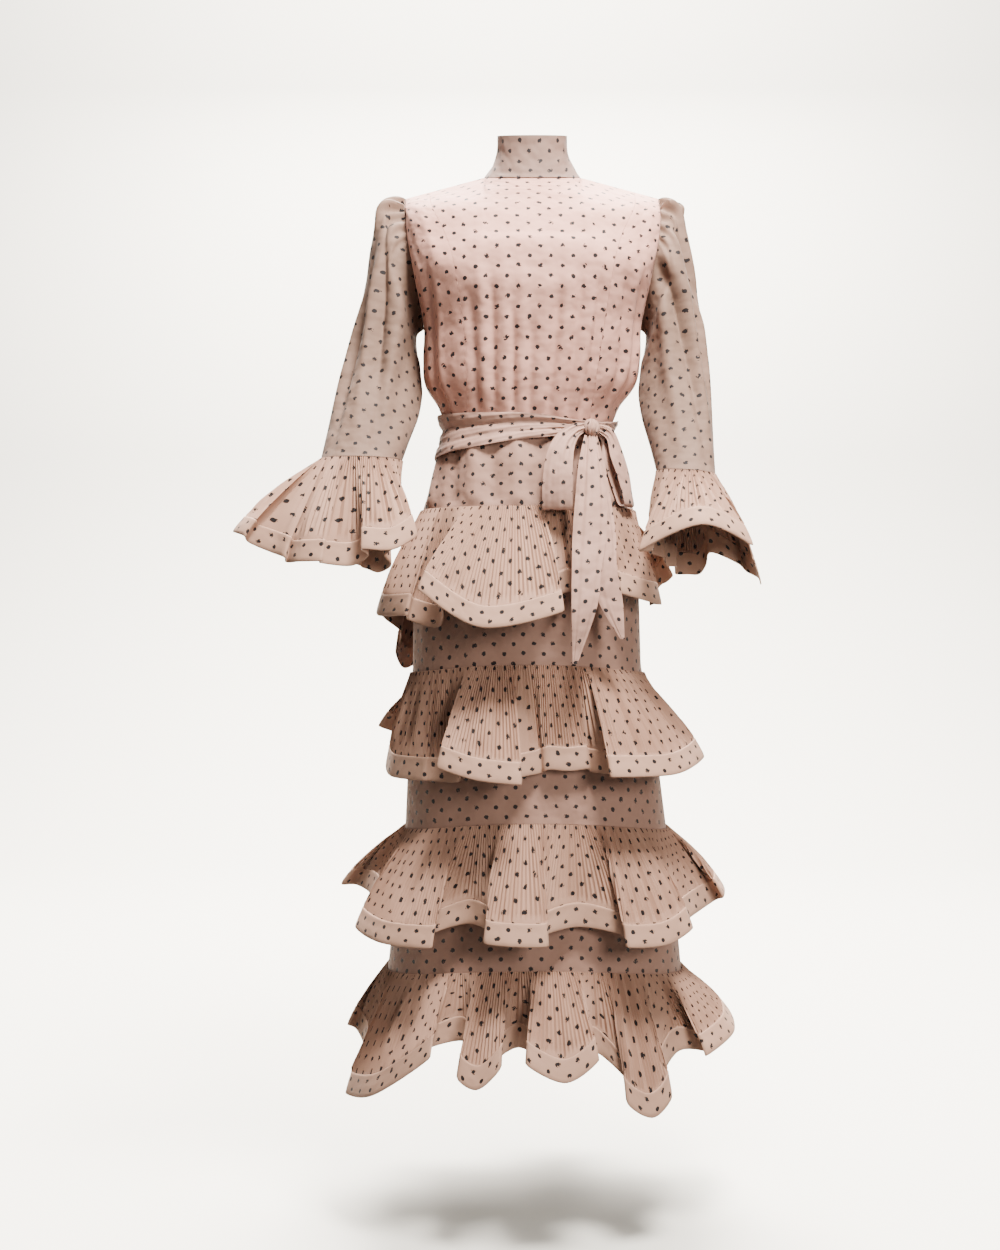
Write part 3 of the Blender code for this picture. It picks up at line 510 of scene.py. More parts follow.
PUCKER_DEPTH, PUCKER_WIDTH, PUCKER_PITCH = 0.0007, 0.006, 0.011


def seam_puckers(cut, columns):
    """The little dimples that the stitching at both sides pulls into the cloth beside it."""
    u, v = cut[:, :columns, 0], cut[:, :columns, 1]
    near = np.zeros(u.shape)
    for edge in (u.min(axis=1, keepdims=True), u.max(axis=1, keepdims=True)):
        near = near + np.exp(-np.abs(u - edge) / PUCKER_WIDTH)
    beat = np.sin(v * 2 * math.pi / PUCKER_PITCH + 2.2 * np.sin(v * 71)) * 0.5 + 0.5
    return (-PUCKER_DEPTH * near * beat)[..., None]


def bodice_panel(name, rows, start, end, table, columns, facing):
    part = np.linspace(0, 1, columns)
    edges = np.broadcast_arrays(start, end, PANEL_DOWNS)
    grid = np.array([bodice(rows, s + (e - s) * part, d) for s, e, d in zip(*edges)])
    cut = flat_cut(grid, False)
    fade = ease(PANEL_DOWNS / 0.04)[:, None, None]
    shift = creased(cut, columns, table) * fade + seam_puckers(cut, columns) * fade
    grid = grid + normals(grid, False, facing) * shift
    cloth(name, grid, bodice_crepe, cut=cut, facing=facing)


# The bodice's copy of the crepe is the lightest: painted light on the chest.
bodice_crepe = crepe("bodice_crepe", (0.53, 0.272, 0.207), (0.475, 0.236, 0.177), creases=0.45)
seam = princess_seam(PANEL_DOWNS)
bodice_panel("centre_front", FRONT_ROWS, SEAM_EDGE - seam, seam - SEAM_EDGE, FRONT_CREASES, 110, 1)
bodice_panel("side_front_left", FRONT_ROWS, -SIDE_EDGE, -seam - SEAM_EDGE, SIDE_CREASES, 46, 1)
bodice_panel("side_front_right", FRONT_ROWS, seam + SEAM_EDGE, SIDE_EDGE, SIDE_CREASES, 46, 1)
bodice_panel("back_left", BACK_ROWS, -SIDE_EDGE, -SEAM_EDGE, BACK_CREASES, 70, -1)
bodice_panel("back_right", BACK_ROWS, SEAM_EDGE, SIDE_EDGE, BACK_CREASES, 70, -1)

# The stand collar: a doubled band of the crepe that leans in to a folded top edge and is joined to
# the neckline by a seam. It meets at the middle of the back.
COLLAR_COLUMNS = 150
COLLAR_FOOT, COLLAR_TOP, COLLAR_HALF_WIDTH = 0.0006, 0.061, 0.051
# How far the collar draws in half way up.
COLLAR_HOLLOW = 0.006
COLLAR_CREASES = named_rows(Crease, (
    (-0.050, -0.010, -0.012, -0.060, 0.006, 0.0009),
    (-0.020, -0.006, 0.010, -0.050, 0.007, -0.0009),
    (0.012, -0.012, 0.052, -0.058, 0.006, 0.0008),
    (-0.060, -0.062, 0.060, -0.063, 0.004, 0.0011),
    (-0.055, -0.054, 0.050, -0.056, 0.004, -0.0010),
    (0.100, -0.010, 0.080, -0.060, 0.008, 0.0010),
    (-0.110, -0.012, -0.085, -0.055, 0.008, -0.0010),
))


def oval(turn, half_width, front_y, back_y, front_z, back_z):
    fore = np.cos(turn * 2 * math.pi)
    y = np.where(fore > 0, front_y, back_y) * np.abs(fore)
    z = np.where(fore > 0, front_z, back_z) * np.abs(fore)
    return np.stack([half_width * np.sin(turn * 2 * math.pi), y, z], axis=-1)


# The collar's copy of the crepe is far darker and greyer than the bodice's: painted shade.
collar_shaded_crepe = crepe("collar_shaded_crepe", (0.165, 0.098, 0.073), (0.14, 0.082, 0.061), creases=0.6)
turns = np.linspace(-0.49985, 0.49985, COLLAR_COLUMNS)
foot = oval(turns, NECK_HALF_WIDTH, -0.062, 0.058, -0.019, 0.006) + (0, 0, COLLAR_FOOT)
top = oval(turns, COLLAR_HALF_WIDTH, -0.049, 0.046, -0.0145, -0.002) + (0, 0, COLLAR_TOP)
downs = np.linspace(0, 1, 30)[:, None, None]
grid = top * (1 - downs) + foot * downs
grid[..., :2] *= 1 - COLLAR_HOLLOW / COLLAR_HALF_WIDTH * np.sin(math.pi * downs)
cut = flat_cut(grid, False)
grid = grid + normals(grid, False, 1) * creased(cut, COLLAR_COLUMNS, COLLAR_CREASES)
cloth("collar", grid, collar_shaded_crepe, cut=cut, wall=COLLAR_WALL)

# The sleeves: one piece each, gathered into the armhole over the cap and falling free to the
# elbow in long soft folds.
SleeveRow = namedtuple("SleeveRow", "outer_x outer_z inner_x inner_z middle_y depth")
SLEEVE_ROWS = {
    "left": named_rows(SleeveRow, (
        (-0.219, -0.038, -0.169, -0.232, 0.006, 0.061),
        (-0.232, -0.092, -0.167, -0.264, 0.005, 0.068),
        (-0.248, -0.175, -0.1645, -0.292, 0.000, 0.067),
        (-0.266, -0.255, -0.1625, -0.322, -0.012, 0.063),
        (-0.284, -0.337, -0.169, -0.366, -0.044, 0.057),
        (-0.298, -0.420, -0.184, -0.422, -0.085, 0.050),
    )),
    "right": named_rows(SleeveRow, (
        (0.213, -0.042, 0.167, -0.232, 0.006, 0.059),
        (0.228, -0.098, 0.163, -0.262, 0.005, 0.064),
        (0.242, -0.172, 0.159, -0.292, 0.000, 0.062),
        (0.250, -0.252, 0.1565, -0.324, -0.014, 0.057),
        (0.254, -0.342, 0.162, -0.374, -0.048, 0.051),
        (0.2535, -0.443, 0.1715, -0.437, -0.095, 0.045),
    )),
}
ARMHOLE_CLEARANCE = 0.0002
# A fold of the sleeve: where it runs, in turns from the front, and down, and its size.
SleeveFold = namedtuple("SleeveFold", "turn0 down0 turn1 down1 width depth")
SLEEVE_FOLDS = named_rows(SleeveFold, (
    (0.06, 0.02, 0.10, 0.55, 0.010, 0.0030),
    (0.13, 0.00, 0.16, 0.95, 0.012, -0.0042),
    (0.17, 0.00, 0.20, 0.90, 0.009, 0.0036),
    (0.21, 0.00, 0.22, 0.60, 0.008, -0.0030),
    (0.26, 0.00, 0.27, 0.45, 0.008, 0.0028),
    (0.31, 0.00, 0.31, 0.70, 0.010, -0.0032),
    (0.36, 0.02, 0.37, 0.95, 0.013, 0.0036),
    (0.02, 0.30, 0.03, 1.00, 0.014, -0.0036),
    (0.94, 0.20, 0.98, 0.85, 0.012, 0.0034),
    (0.88, 0.35, 0.92, 1.00, 0.014, -0.0030),
    (0.46, 0.15, 0.44, 0.95, 0.014, -0.0030),
    (0.55, 0.20, 0.52, 0.90, 0.013, 0.0030),
    (0.64, 0.25, 0.62, 1.00, 0.014, -0.0030),
    (0.78, 0.30, 0.76, 0.90, 0.012, 0.0024),
))
SLEEVE_OWN_FOLDS = {
    "left": named_rows(SleeveFold, (
        (0.12, 0.03, -0.06, 1.00, 0.009, -0.0048),
        (0.18, 0.05, 0.02, 1.00, 0.010, 0.0040),
        (0.23, 0.10, 0.12, 1.00, 0.008, -0.0036),
    )),
    "right": named_rows(SleeveFold, (
        (-0.06, 0.03, 0.12, 1.00, 0.008, -0.0056),
        (-0.02, 0.02, 0.17, 0.95, 0.009, 0.0050),
        (0.05, 0.02, 0.21, 0.60, 0.006, -0.0050),
        (0.14, 0.00, 0.20, 0.22, 0.005, 0.0046),
        (0.17, 0.01, 0.24, 0.20, 0.005, -0.0046),
    )),
}


def armhole(side, turn):
    turn = (turn + 0.25) % 1
    fore = bodice(FRONT_ROWS, side, 0.5 * (1 - turn * 2)) if turn < 0.5 else \
        bodice(BACK_ROWS, side, 0.5 * (turn * 2 - 1))
    return fore + (side * ARMHOLE_CLEARANCE, 0, 0)


def sleeve_rings(name, turns):
    rows = SLEEVE_ROWS[name]
    side = math.copysign(1, rows[0].outer_x)
    rings = [np.array([armhole(side, turn) for turn in turns])]
    for row in rows:
        outer = np.array((row.outer_x, row.middle_y, row.outer_z))
        inner = np.array((row.inner_x, row.middle_y, row.inner_z))
        middle = (outer + inner) / 2
        angle = turns[:, None] * 2 * math.pi
        rings.append(middle + (outer - middle) * np.sin(angle)
                     - np.array((0, row.depth, 0)) * np.cos(angle))
    return rings


# The sleeve's grid: its rows crowd together towards the cap.
SLEEVE_COLUMNS, SLEEVE_STEPS, SLEEVE_CROWDING = 200, 110, 1.15
# The first row below the cap, where a ring of the sleeve lies square to its length, and how the
# threads are eased: how often, and how much of its error each gives up in a turn.
SLEEVE_CALM_ROW = 38
EASE_TURNS, EASE_SHARE = 400, 0.16
# The gathers of the cap: how far they stand out, how many there are round it and how low they go.
CAP_GATHER, CAP_WAVES, CAP_FADE_START, CAP_FADE_LENGTH = 0.0046, 27, 0.05, 0.28
SLEEVE_FOLD_GAIN = 1.35


def sleeve_cut(grid):
    """The sleeve's flat cut: down its own length and round it square to that length, then eased
    over the cap until its threads have their true lengths."""
    closed = np.concatenate([grid, grid[:, :1]], axis=1)
    length = grid[-1].mean(axis=0) - grid[0].mean(axis=0)
    length /= np.linalg.norm(length)
    steps = np.diff(closed, axis=1)
    steps = steps - (steps @ length)[..., None] * length
    steps = np.linalg.norm(steps, axis=2)
    across = np.concatenate([np.zeros((len(grid), 1)), np.cumsum(steps, axis=1)], axis=1)
    across = across - across[:, across.shape[1] // 2, None]
    across[:SLEEVE_CALM_ROW] = across[SLEEVE_CALM_ROW]
    cut = np.stack([across, -(closed - closed[0, 0]) @ length], axis=2)
    threads = []
    for rows, columns in ((0, 1), (1, 0), (1, 1), (1, -1), (0, 6), (6, 0), (3, 3), (3, -3)):
        last = closed.shape[1] - abs(columns)
        a = (slice(0, len(grid) - rows), slice(0, last) if columns >= 0 else slice(-columns, None))
        b = (slice(rows, None), slice(columns, None) if columns >= 0 else slice(0, last))
        threads.append((a, b, np.linalg.norm(closed[b] - closed[a], axis=2)))
    for turn in range(EASE_TURNS):
        for a, b, true in threads:
            run = cut[b] - cut[a]
            now = np.maximum(np.linalg.norm(run, axis=2), 1e-9)
            pull = (EASE_SHARE * (1 - true / now))[..., None] * run
            cut[a] += pull
            cut[b] -= pull
    return cut


# The sleeves' copy of the crepe is darker and greyer than the bodice's: painted shade.
sleeve_crepe = crepe("sleeve_crepe", (0.182, 0.110, 0.078), (0.154, 0.091, 0.063), creases=0.5)
turns = (0.75 + np.arange(SLEEVE_COLUMNS) / SLEEVE_COLUMNS) % 1
for name, facing in (("left", -1), ("right", 1)):
    downs = np.linspace(0, 1, SLEEVE_STEPS) ** SLEEVE_CROWDING
    grid = along(sleeve_rings(name, turns), downs)
    cut = sleeve_cut(grid)
    out = normals(grid, True, facing)
    round_turns = turns * 2 * math.pi
    crown = np.maximum(np.sin(round_turns), 0)[None, :, None]
    fade = ease(downs / 0.02) * (1 - ease((downs - CAP_FADE_START) / CAP_FADE_LENGTH))
    beat = np.sin(round_turns * CAP_WAVES + 1.7 * np.sin(round_turns * 5))[None, :, None]
    shift = CAP_GATHER * crown ** 0.6 * fade[:, None, None] * beat
    for fold in SLEEVE_FOLDS + SLEEVE_OWN_FOLDS[name]:
        inside = (downs - fold.down0) / (fold.down1 - fold.down0)
        line = fold.turn0 + (fold.turn1 - fold.turn0) * np.clip(inside, 0, 1)
        away = (turns[None, :] - line[:, None] + 0.5) % 1 - 0.5
        away = away * np.ptp(cut[..., 0], axis=1)[:, None]
        ends = ease(inside / 0.2 + 0.2) * ease((1 - inside) / 0.25 + 0.2)
        swell = SLEEVE_FOLD_GAIN * fold.depth * np.exp(-(away / fold.width) ** 2) * ends[:, None]
        shift = shift + swell[..., None]
    shift = shift * ease(np.minimum(downs / 0.02, (1 - downs) / 0.03))[:, None, None]
    grid = grid + out * shift
    cloth("sleeve_" + name, grid, sleeve_crepe, cut=cut, ring=True, facing=facing)

# The skirt: four tubes, each a front and a back panel with side seams, which hang straight and
# show between the flounces.
SkirtRow = namedtuple("SkirtRow", "z half_width front_y back_y middle_x")
SKIRT_ROWS = named_rows(SkirtRow, (
    (-0.372, 0.119, 0.093, 0.083, -0.006),
    (-0.425, 0.134, 0.108, 0.104, -0.006),
    (-0.485, 0.153, 0.119, 0.124, -0.006),
    (-0.598, 0.164, 0.126, 0.134, -0.009),
    (-0.711, 0.166, 0.132, 0.140, -0.008),
    (-0.830, 0.180, 0.142, 0.148, 0.000),
    (-0.949, 0.190, 0.150, 0.156, 0.005),
    (-1.049, 0.203, 0.160, 0.166, 0.004),
    (-1.149, 0.213, 0.170, 0.176, 0.003),
))
SEAM_Z = (-0.372, -0.488, -0.722, -0.946, -1.148)
SEAM_RISE = (0.000, 0.000, 0.014, 0.022, 0.028)
SKIRT_SQUARE = 2.15
# How far the last tube goes on behind the last flounce, where no tube below closes the seam.
LAST_SEAM_DEPTH = 0.006
TUBE_END_GAP = 0.0002
TUBE_QUARTER = 0.2498
TUBE_COLUMNS = 90
# How far the tubes' folds may stand out; those gathered under the sash in front stand out more.
TUBE_FOLD, FRONT_GATHER, TUBE_FOLD_DRAWN = 0.0012, 0.0042, 0.0018
TUBE_CREASES = tuple(Crease(start, 0.0, end, -0.25, width, depth) for start, end, width, depth in (
    (-0.120, -0.118, 0.012, -0.0022),
    (-0.085, -0.088, 0.010, 0.0022),
    (-0.058, -0.050, 0.012, -0.0024),
    (-0.020, -0.022, 0.010, 0.0020),
    (0.010, 0.014, 0.012, -0.0022),
    (0.046, 0.040, 0.010, 0.0022),
    (0.078, 0.082, 0.012, -0.0024),
    (0.125, 0.118, 0.012, 0.0022),
    (0.165, 0.160, 0.014, -0.0022),
    (-0.170, -0.166, 0.014, 0.0020),
))


def ring_point(rows, angle, z, clear=0.0):
    """Points on the body's rings, or clear outside them; angle 0 is the front."""
    angle, z, clear = np.broadcast_arrays(np.asarray(angle, float), z, clear)
    heights = [-row.z for row in rows]
    half, fore, aft, middle = (np.interp(-z, heights, [row[i] for row in rows])
                               for i in range(1, 5))
    sine = signed_power(np.sin(angle), 2 / SKIRT_SQUARE)
    cosine = signed_power(np.cos(angle), 2 / SKIRT_SQUARE)
    depth = np.where(cosine > 0, fore, aft) + clear
    return np.stack([middle + (half + clear) * sine, -depth * cosine, z], axis=-1)


def seam_height(index, angle):
    return SEAM_Z[index] + SEAM_RISE[index] * np.maximum(np.cos(angle), 0) ** 2


# The tubes' copy of the crepe is darker than the flounces': painted shade under the flounces.
skirt_crepe = crepe("skirt_crepe", (0.30, 0.170, 0.124), (0.258, 0.142, 0.102),
                    (0.0275, 0.0275), 0.4)
for index in range(4):
    for side, middle in (("front", 0.0), ("back", 0.5)):
        angle = (middle + np.linspace(-TUBE_QUARTER, TUBE_QUARTER, TUBE_COLUMNS)) * 2 * math.pi
        top = seam_height(index, angle) - TUBE_END_GAP
        bottom = seam_height(index + 1, angle) + (TUBE_END_GAP if index < 3 else -LAST_SEAM_DEPTH)
        downs = np.linspace(0, 1, 30)
        z = top[None] + (bottom - top)[None] * downs[:, None]
        grid = ring_point(SKIRT_ROWS, angle[None] + 0 * z, z)
        cut = flat_cut(grid, False)
        shift = creased(cut, TUBE_COLUMNS, TUBE_CREASES) + seam_puckers(cut, TUBE_COLUMNS)
        limit = FRONT_GATHER if index == 0 and side == "front" else TUBE_FOLD
        shift = np.minimum(shift * limit / TUBE_FOLD_DRAWN, limit)
        shift = shift * ease(np.minimum(downs / 0.1, (1 - downs) / 0.1))[:, None, None]
        grid = grid + normals(grid, False, 1) * shift
        cloth("skirt_" + str(index + 1) + "_" + side, grid, skirt_crepe, cut=cut)

# The flounces: strips pressed into fine crystal pleats, sewn on at the seams, whose pleats open
# out into deep waves above a doubled plain band that holds the free edge.
Fold = namedtuple("Fold", "middle half reach drop rise_left rise_right "
                          "hollow hollow_reach hollow_drop")
TIER_FOLDS = (
    named_rows(Fold, (
        (-152, 11, 0.045, 0.165, 0.005, 0.005, -136, 0.012, 0.180),
        (-115, 11, 0.036, 0.230, 0.010, 0.022, -98, 0.022, 0.175),
        (-71, 21.5, 0.056, 0.152, 0.008, 0.000, -43, 0.012, 0.168),
        (-13.5, 22.5, 0.084, 0.168, 0.050, 0.020, 17, 0.010, 0.120),
        (26, 5, 0.030, 0.132, 0.005, 0.005, 35, 0.010, 0.120),
        (54, 16, 0.040, 0.132, 0.010, -0.004, 84, 0.016, 0.135),
        (116, 12, 0.068, 0.102, 0.010, 0.010, 138, 0.014, 0.120),
        (158, 12, 0.050, 0.150, 0.005, 0.005, -176, 0.012, 0.150),
    )),
    named_rows(Fold, (
        (-167, 11, 0.045, 0.150, 0.005, 0.005, -151, 0.010, 0.120),
        (-131, 13, 0.088, 0.088, 0.005, 0.002, -107, 0.014, 0.120),
        (-67, 22, 0.034, 0.145, 0.008, 0.000, -32, 0.010, 0.147),
        (-17, 13, 0.074, 0.136, 0.014, -0.006, 1, 0.010, 0.133),
        (12, 7, 0.018, 0.129, 0.002, 0.002, 22, 0.010, 0.132),
        (46, 24, 0.078, 0.133, 0.000, 0.016, 86, 0.024, 0.112),
        (114, 12, 0.055, 0.130, 0.005, 0.005, 134, 0.012, 0.130),
        (154, 12, 0.050, 0.150, 0.005, 0.005, 173, 0.010, 0.140),
    )),
    named_rows(Fold, (
        (-150, 12, 0.055, 0.138, 0.005, 0.005, -131, 0.020, 0.120),
        (-108, 13, 0.090, 0.088, 0.006, -0.002, -83, 0.035, 0.098),
        (-49, 19, 0.070, 0.138, 0.008, 0.002, -23, 0.020, 0.110),
        (-6, 8, 0.070, 0.128, 0.003, 0.000, 13, 0.018, 0.113),
        (37, 13, 0.070, 0.134, 0.001, 0.014, 62, 0.034, 0.117),
        (95, 17, 0.076, 0.090, -0.004, 0.008, 124, 0.016, 0.115),
        (154, 12, 0.055, 0.140, 0.005, 0.005, -176, 0.012, 0.130),
    )),
    named_rows(Fold, (
        (-142, 12, 0.055, 0.130, 0.005, 0.005, -127, 0.016, 0.115),
        (-106, 12, 0.066, 0.106, 0.005, 0.012, -86, 0.034, 0.120),
        (-49, 20, 0.075, 0.140, -0.020, 0.062, -24, 0.014, 0.066),
        (-15, 6, 0.068, 0.113, 0.012, 0.028, -5.5, 0.016, 0.070),
        (6, 8.5, 0.078, 0.099, 0.022, 0.026, 18.5, 0.018, 0.078),
        (32, 8, 0.064, 0.159, 0.022, 0.022, 52, 0.030, 0.092),
        (73, 20, 0.078, 0.078, -0.012, 0.006, 104, 0.024, 0.095),
        (127, 12, 0.065, 0.126, 0.005, 0.005, 146, 0.014, 0.120),
        (170, 13, 0.065, 0.138, 0.005, 0.005, -163, 0.014, 0.125),
    )),
)
TIER_PLEATS = (380, 400, 430, 460)
PLEAT_CUT = 0.0055
PLEAT_AT_SEAM = 0.0012
PLEAT_AT_HEM = 0.0016
COLUMNS_PER_PLEAT = 2
CUFF_PLEATS = 130
# What is left of the pleats' depth between the band's layers, and how far they run on in there.
PRESSED_SHARE = 0.2
PLEAT_TUCK = 0.004
# How far groups of pleats swell out together, and how far out from the tubes they are sewn on.
PLEAT_SWELL = 0.0014
FLOUNCE_CLEAR = 0.0024
BAND_COLUMNS = 560
# The form between two waves: the share of a wave's half width that its seam takes up, how far in
# from a crest's corner its neck starts (a share of the half width, and degrees at most), how much
# of the wave's reach, drop and seam angle the neck keeps, the corner's share of the reach, and
# from which reach, over which span, a wave is deep enough to have necks.
SEAM_SHARE = 0.75
NECK_SHARE, NECK_MOST = 0.28, 4.5
NECK_REACH, NECK_DROP, NECK_SEAM = 0.55, 0.6, 0.2
CORNER_REACH = 0.94
DEEP_FROM, DEEP_SPAN = 0.025, 0.02
# How far the flounces swell out over a straight line from seam to edge; 1 is straight.
BELL = 1.25
BAND_HEIGHT, BAND_TUCK = 0.033, 0.003
# The band's section: how far down it, how far out its face stands, and how thick it is there.
BandRow = namedtuple("BandRow", "down out thick")
BAND_ROWS = named_rows(BandRow, (
    (0.00, 0.0004, 0.0012),
    (0.03, 0.0012, 0.0024),
    (0.07, 0.0014, 0.0026),
    (0.15, 0.0010, 0.0022),
    (0.45, 0.0009, 0.0020),
    (0.80, 0.0009, 0.0020),
    (0.96, 0.0008, 0.0019),
    (1.00, 0.0003, 0.0010),
))


def edge_places(folds):
    """Angle, reach, drop and seam angle of six places for each fold, round the free edge: the
    crest's corners hang a little over the narrower necks behind them."""
    places = []
    for index, fold in enumerate(folds):
        before = folds[index - 1]
        following = folds[(index + 1) % len(folds)]
        turn_before = 360 if index == 0 else 0
        turn_after = 360 if index == len(folds) - 1 else 0
        start = fold.middle - fold.half * SEAM_SHARE
        end = fold.middle + fold.half * SEAM_SHARE
        end_before = before.middle + before.half * SEAM_SHARE - turn_before
        start_after = following.middle - following.half * SEAM_SHARE + turn_after
        hollow = fold.hollow + (360 if fold.hollow < fold.middle else 0)
        pinch = min(fold.half * NECK_SHARE, NECK_MOST)
        crisp = float(ease((fold.reach - DEEP_FROM) / DEEP_SPAN))
        hollow_before = before.hollow + (360 if before.hollow < before.middle else 0) - turn_before
        pinch_left = pinch * crisp + (hollow_before - fold.middle + fold.half) / 2 * (1 - crisp)
        pinch_right = pinch * crisp - (hollow - fold.middle - fold.half) / 2 * (1 - crisp)
        left, right = fold.drop - fold.rise_left, fold.drop - fold.rise_right
        places.append((fold.middle - fold.half + pinch_left,
                       fold.reach * NECK_REACH + before.hollow_reach * (1 - NECK_REACH),
                       left * NECK_DROP + before.hollow_drop * (1 - NECK_DROP),
                       start - (start - end_before) * NECK_SEAM))
        places.append((fold.middle - fold.half, fold.reach * CORNER_REACH, left, start))
        places.append((fold.middle, fold.reach, fold.drop, fold.middle))
        places.append((fold.middle + fold.half, fold.reach * CORNER_REACH, right, end))
        places.append((fold.middle + fold.half - pinch_right,
                       fold.reach * NECK_REACH + fold.hollow_reach * (1 - NECK_REACH),
                       right * NECK_DROP + fold.hollow_drop * (1 - NECK_DROP),
                       end + (start_after - end) * NECK_SEAM))
        places.append((hollow, fold.hollow_reach, fold.hollow_drop, (end + start_after) / 2))
    return np.array(places)


def flounce(folds, seam_point, edge_point):
    """Form of a flounce: across 0 to 1 round it, down 0 at its seam to 1 at its free edge, and the
    across values of evenly pressed pleats and of even steps along the edge."""
    places = edge_places(folds)
    edges = edge_point(np.radians(places[:, 0]), places[:, 1], places[:, 2])
    shifts = places[:, 3] - 360 * np.arange(len(places)) / len(places)
    close = np.linspace(0, 1, 4001)
    seam = along(shifts, close, ring=True) + 360 * close
    edge = along(edges, close, ring=True)
    run = running(np.linalg.norm(np.diff(edge, axis=0), axis=1))

    def form(across, down):
        start = seam_point(np.radians(along(shifts, across, ring=True) + 360 * across))
        end = along(edges, across, ring=True)
        down = np.asarray(down, float)[:, :, None]
        out = 1 - np.maximum(1 - down, 0) ** BELL
        grid = start + (end - start) * out
        grid[..., 2:] = start[..., 2:] + (end - start)[..., 2:] * down
        return grid

    def at_seam(count):
        onward = np.maximum.accumulate(seam) - seam[0]
        return np.interp(np.arange(count) / count * 360, onward, close)

    def at_edge(count):
        return np.interp(np.arange(count) / count * run[-1], run, close)
    return form, at_seam, at_edge


def fall_of(form, across):
    """The straight way from the seam to the free edge at each place round a flounce."""
    down = np.ones((1, len(across)))
    return np.linalg.norm(form(across, down)[0] - form(across, 0 * down)[0], axis=1)


def add_flounce(names, forms, pleats, facing, seed, flounce_finish, band_finish):
    """A pleated flounce and the plain band along its free edge, both on the form. The pleats run on
    between the band's two layers, pressed flat."""
    form, at_seam, at_edge = forms
    columns = pleats * COLUMNS_PER_PLEAT
    across = at_seam(columns)
    length = fall_of(form, across)
    reach = 1 - BAND_HEIGHT / length
    downs = np.concatenate([[0, 0.03, 0.08], np.linspace(0.16, 0.97, 12), [1, 1.03]])
    lowest = reach[None] + PLEAT_TUCK / length[None]
    grid = form(across, np.minimum(downs[:, None] * reach[None], lowest))
    out = normals(grid, True, facing)
    wander = np.zeros(columns)
    chance = np.random.default_rng(seed)
    for waves in (19, 27, 38, 53):
        height = chance.uniform(0.4, 1)
        place = waves * np.arange(columns) / columns + chance.random()
        wander += height * np.sin(2 * math.pi * place)
    beat = np.array([-1.0, 1.0])[np.arange(columns) % COLUMNS_PER_PLEAT]
    uneven = np.repeat(chance.uniform(0.6, 1.15, pleats), COLUMNS_PER_PLEAT)
    size = PLEAT_AT_SEAM + (PLEAT_AT_HEM - PLEAT_AT_SEAM) * downs
    size = size * np.where(downs > 0.99, PRESSED_SHARE, 1)
    shift = size[:, None] * beat[None] * uneven[None]
    fade = ease(downs / 0.5) * (1 - ease((downs - 0.75) / 0.2))
    swell = PLEAT_SWELL * wander[None] * fade[:, None]
    grid = grid + out * (shift + swell)[..., None]
    wide = np.arange(columns + 1) / COLUMNS_PER_PLEAT * PLEAT_CUT
    cut = square_cut(wide, grid)
    cloth(names[0], grid, flounce_finish, cut=cut, wall=PLEAT_WALL, ring=True, facing=facing)
    across = at_edge(BAND_COLUMNS)
    length = fall_of(form, across)
    share = BAND_HEIGHT / length
    downs = np.array([row.down for row in BAND_ROWS])
    grid = form(across, 1 - (1 - downs[:, None]) * share[None])
    above = form(across, 1 - (1 - np.array([[-0.5], [0.5]])) * share[None])
    fall = above[1] - above[0]
    side = np.roll(grid, -1, axis=1) - np.roll(grid, 1, axis=1)
    out = facing * np.cross(np.broadcast_to(fall, side.shape), side)
    out /= np.linalg.norm(out, axis=2, keepdims=True)
    outs = np.array([row.out for row in BAND_ROWS])[:, None, None]
    thick = np.array([row.thick for row in BAND_ROWS])[:, None, None]
    band(names[1], grid + out * outs, grid + out * (outs - thick), band_finish, facing)


def band(name, outer, inner, material, facing):
    """A closed ring of doubled cloth with a face and a back of their own."""
    loop = np.concatenate([outer, inner[::-1]])
    steps = np.linalg.norm(np.roll(outer, -1, axis=1) - outer, axis=2).mean(axis=0)
    run = running(steps)
    cut = square_cut(run, np.concatenate([loop, loop[:1]]))
    corner, flat = quads(*loop.shape[:2], True, closed=True)
    if facing > 0:
        corner, flat = corner[:, ::-1], flat[:, ::-1]
    piece = add_piece(name, loop.reshape(-1, 3), corner, flat, cut, material)


# The pleats' and band's copies of the crepe are lighter and creamier than the tubes': painted light
# on the flounces.
flounce_crepe = crepe("flounce_crepe", (0.365, 0.209, 0.144), (0.32, 0.177, 0.119),
                      (0.027, 0.0275), 0.1)
band_crepe = crepe("band_crepe", (0.40, 0.235, 0.163), (0.355, 0.203, 0.137),
                   (0.0275, 0.0275), 0.25)
for index in range(4):
    tier = flounce(TIER_FOLDS[index],
                   lambda angle: ring_point(SKIRT_ROWS, angle, seam_height(index + 1, angle),
                                            FLOUNCE_CLEAR),
                   lambda angle, reach, drop: ring_point(SKIRT_ROWS, angle,
                                                         SEAM_Z[index + 1] - drop, reach))
    number = str(index + 1)
    add_flounce(("flounce_" + number, "flounce_band_" + number), tier, TIER_PLEATS[index], 1,
                20 + index,
                flounce_crepe, band_crepe)

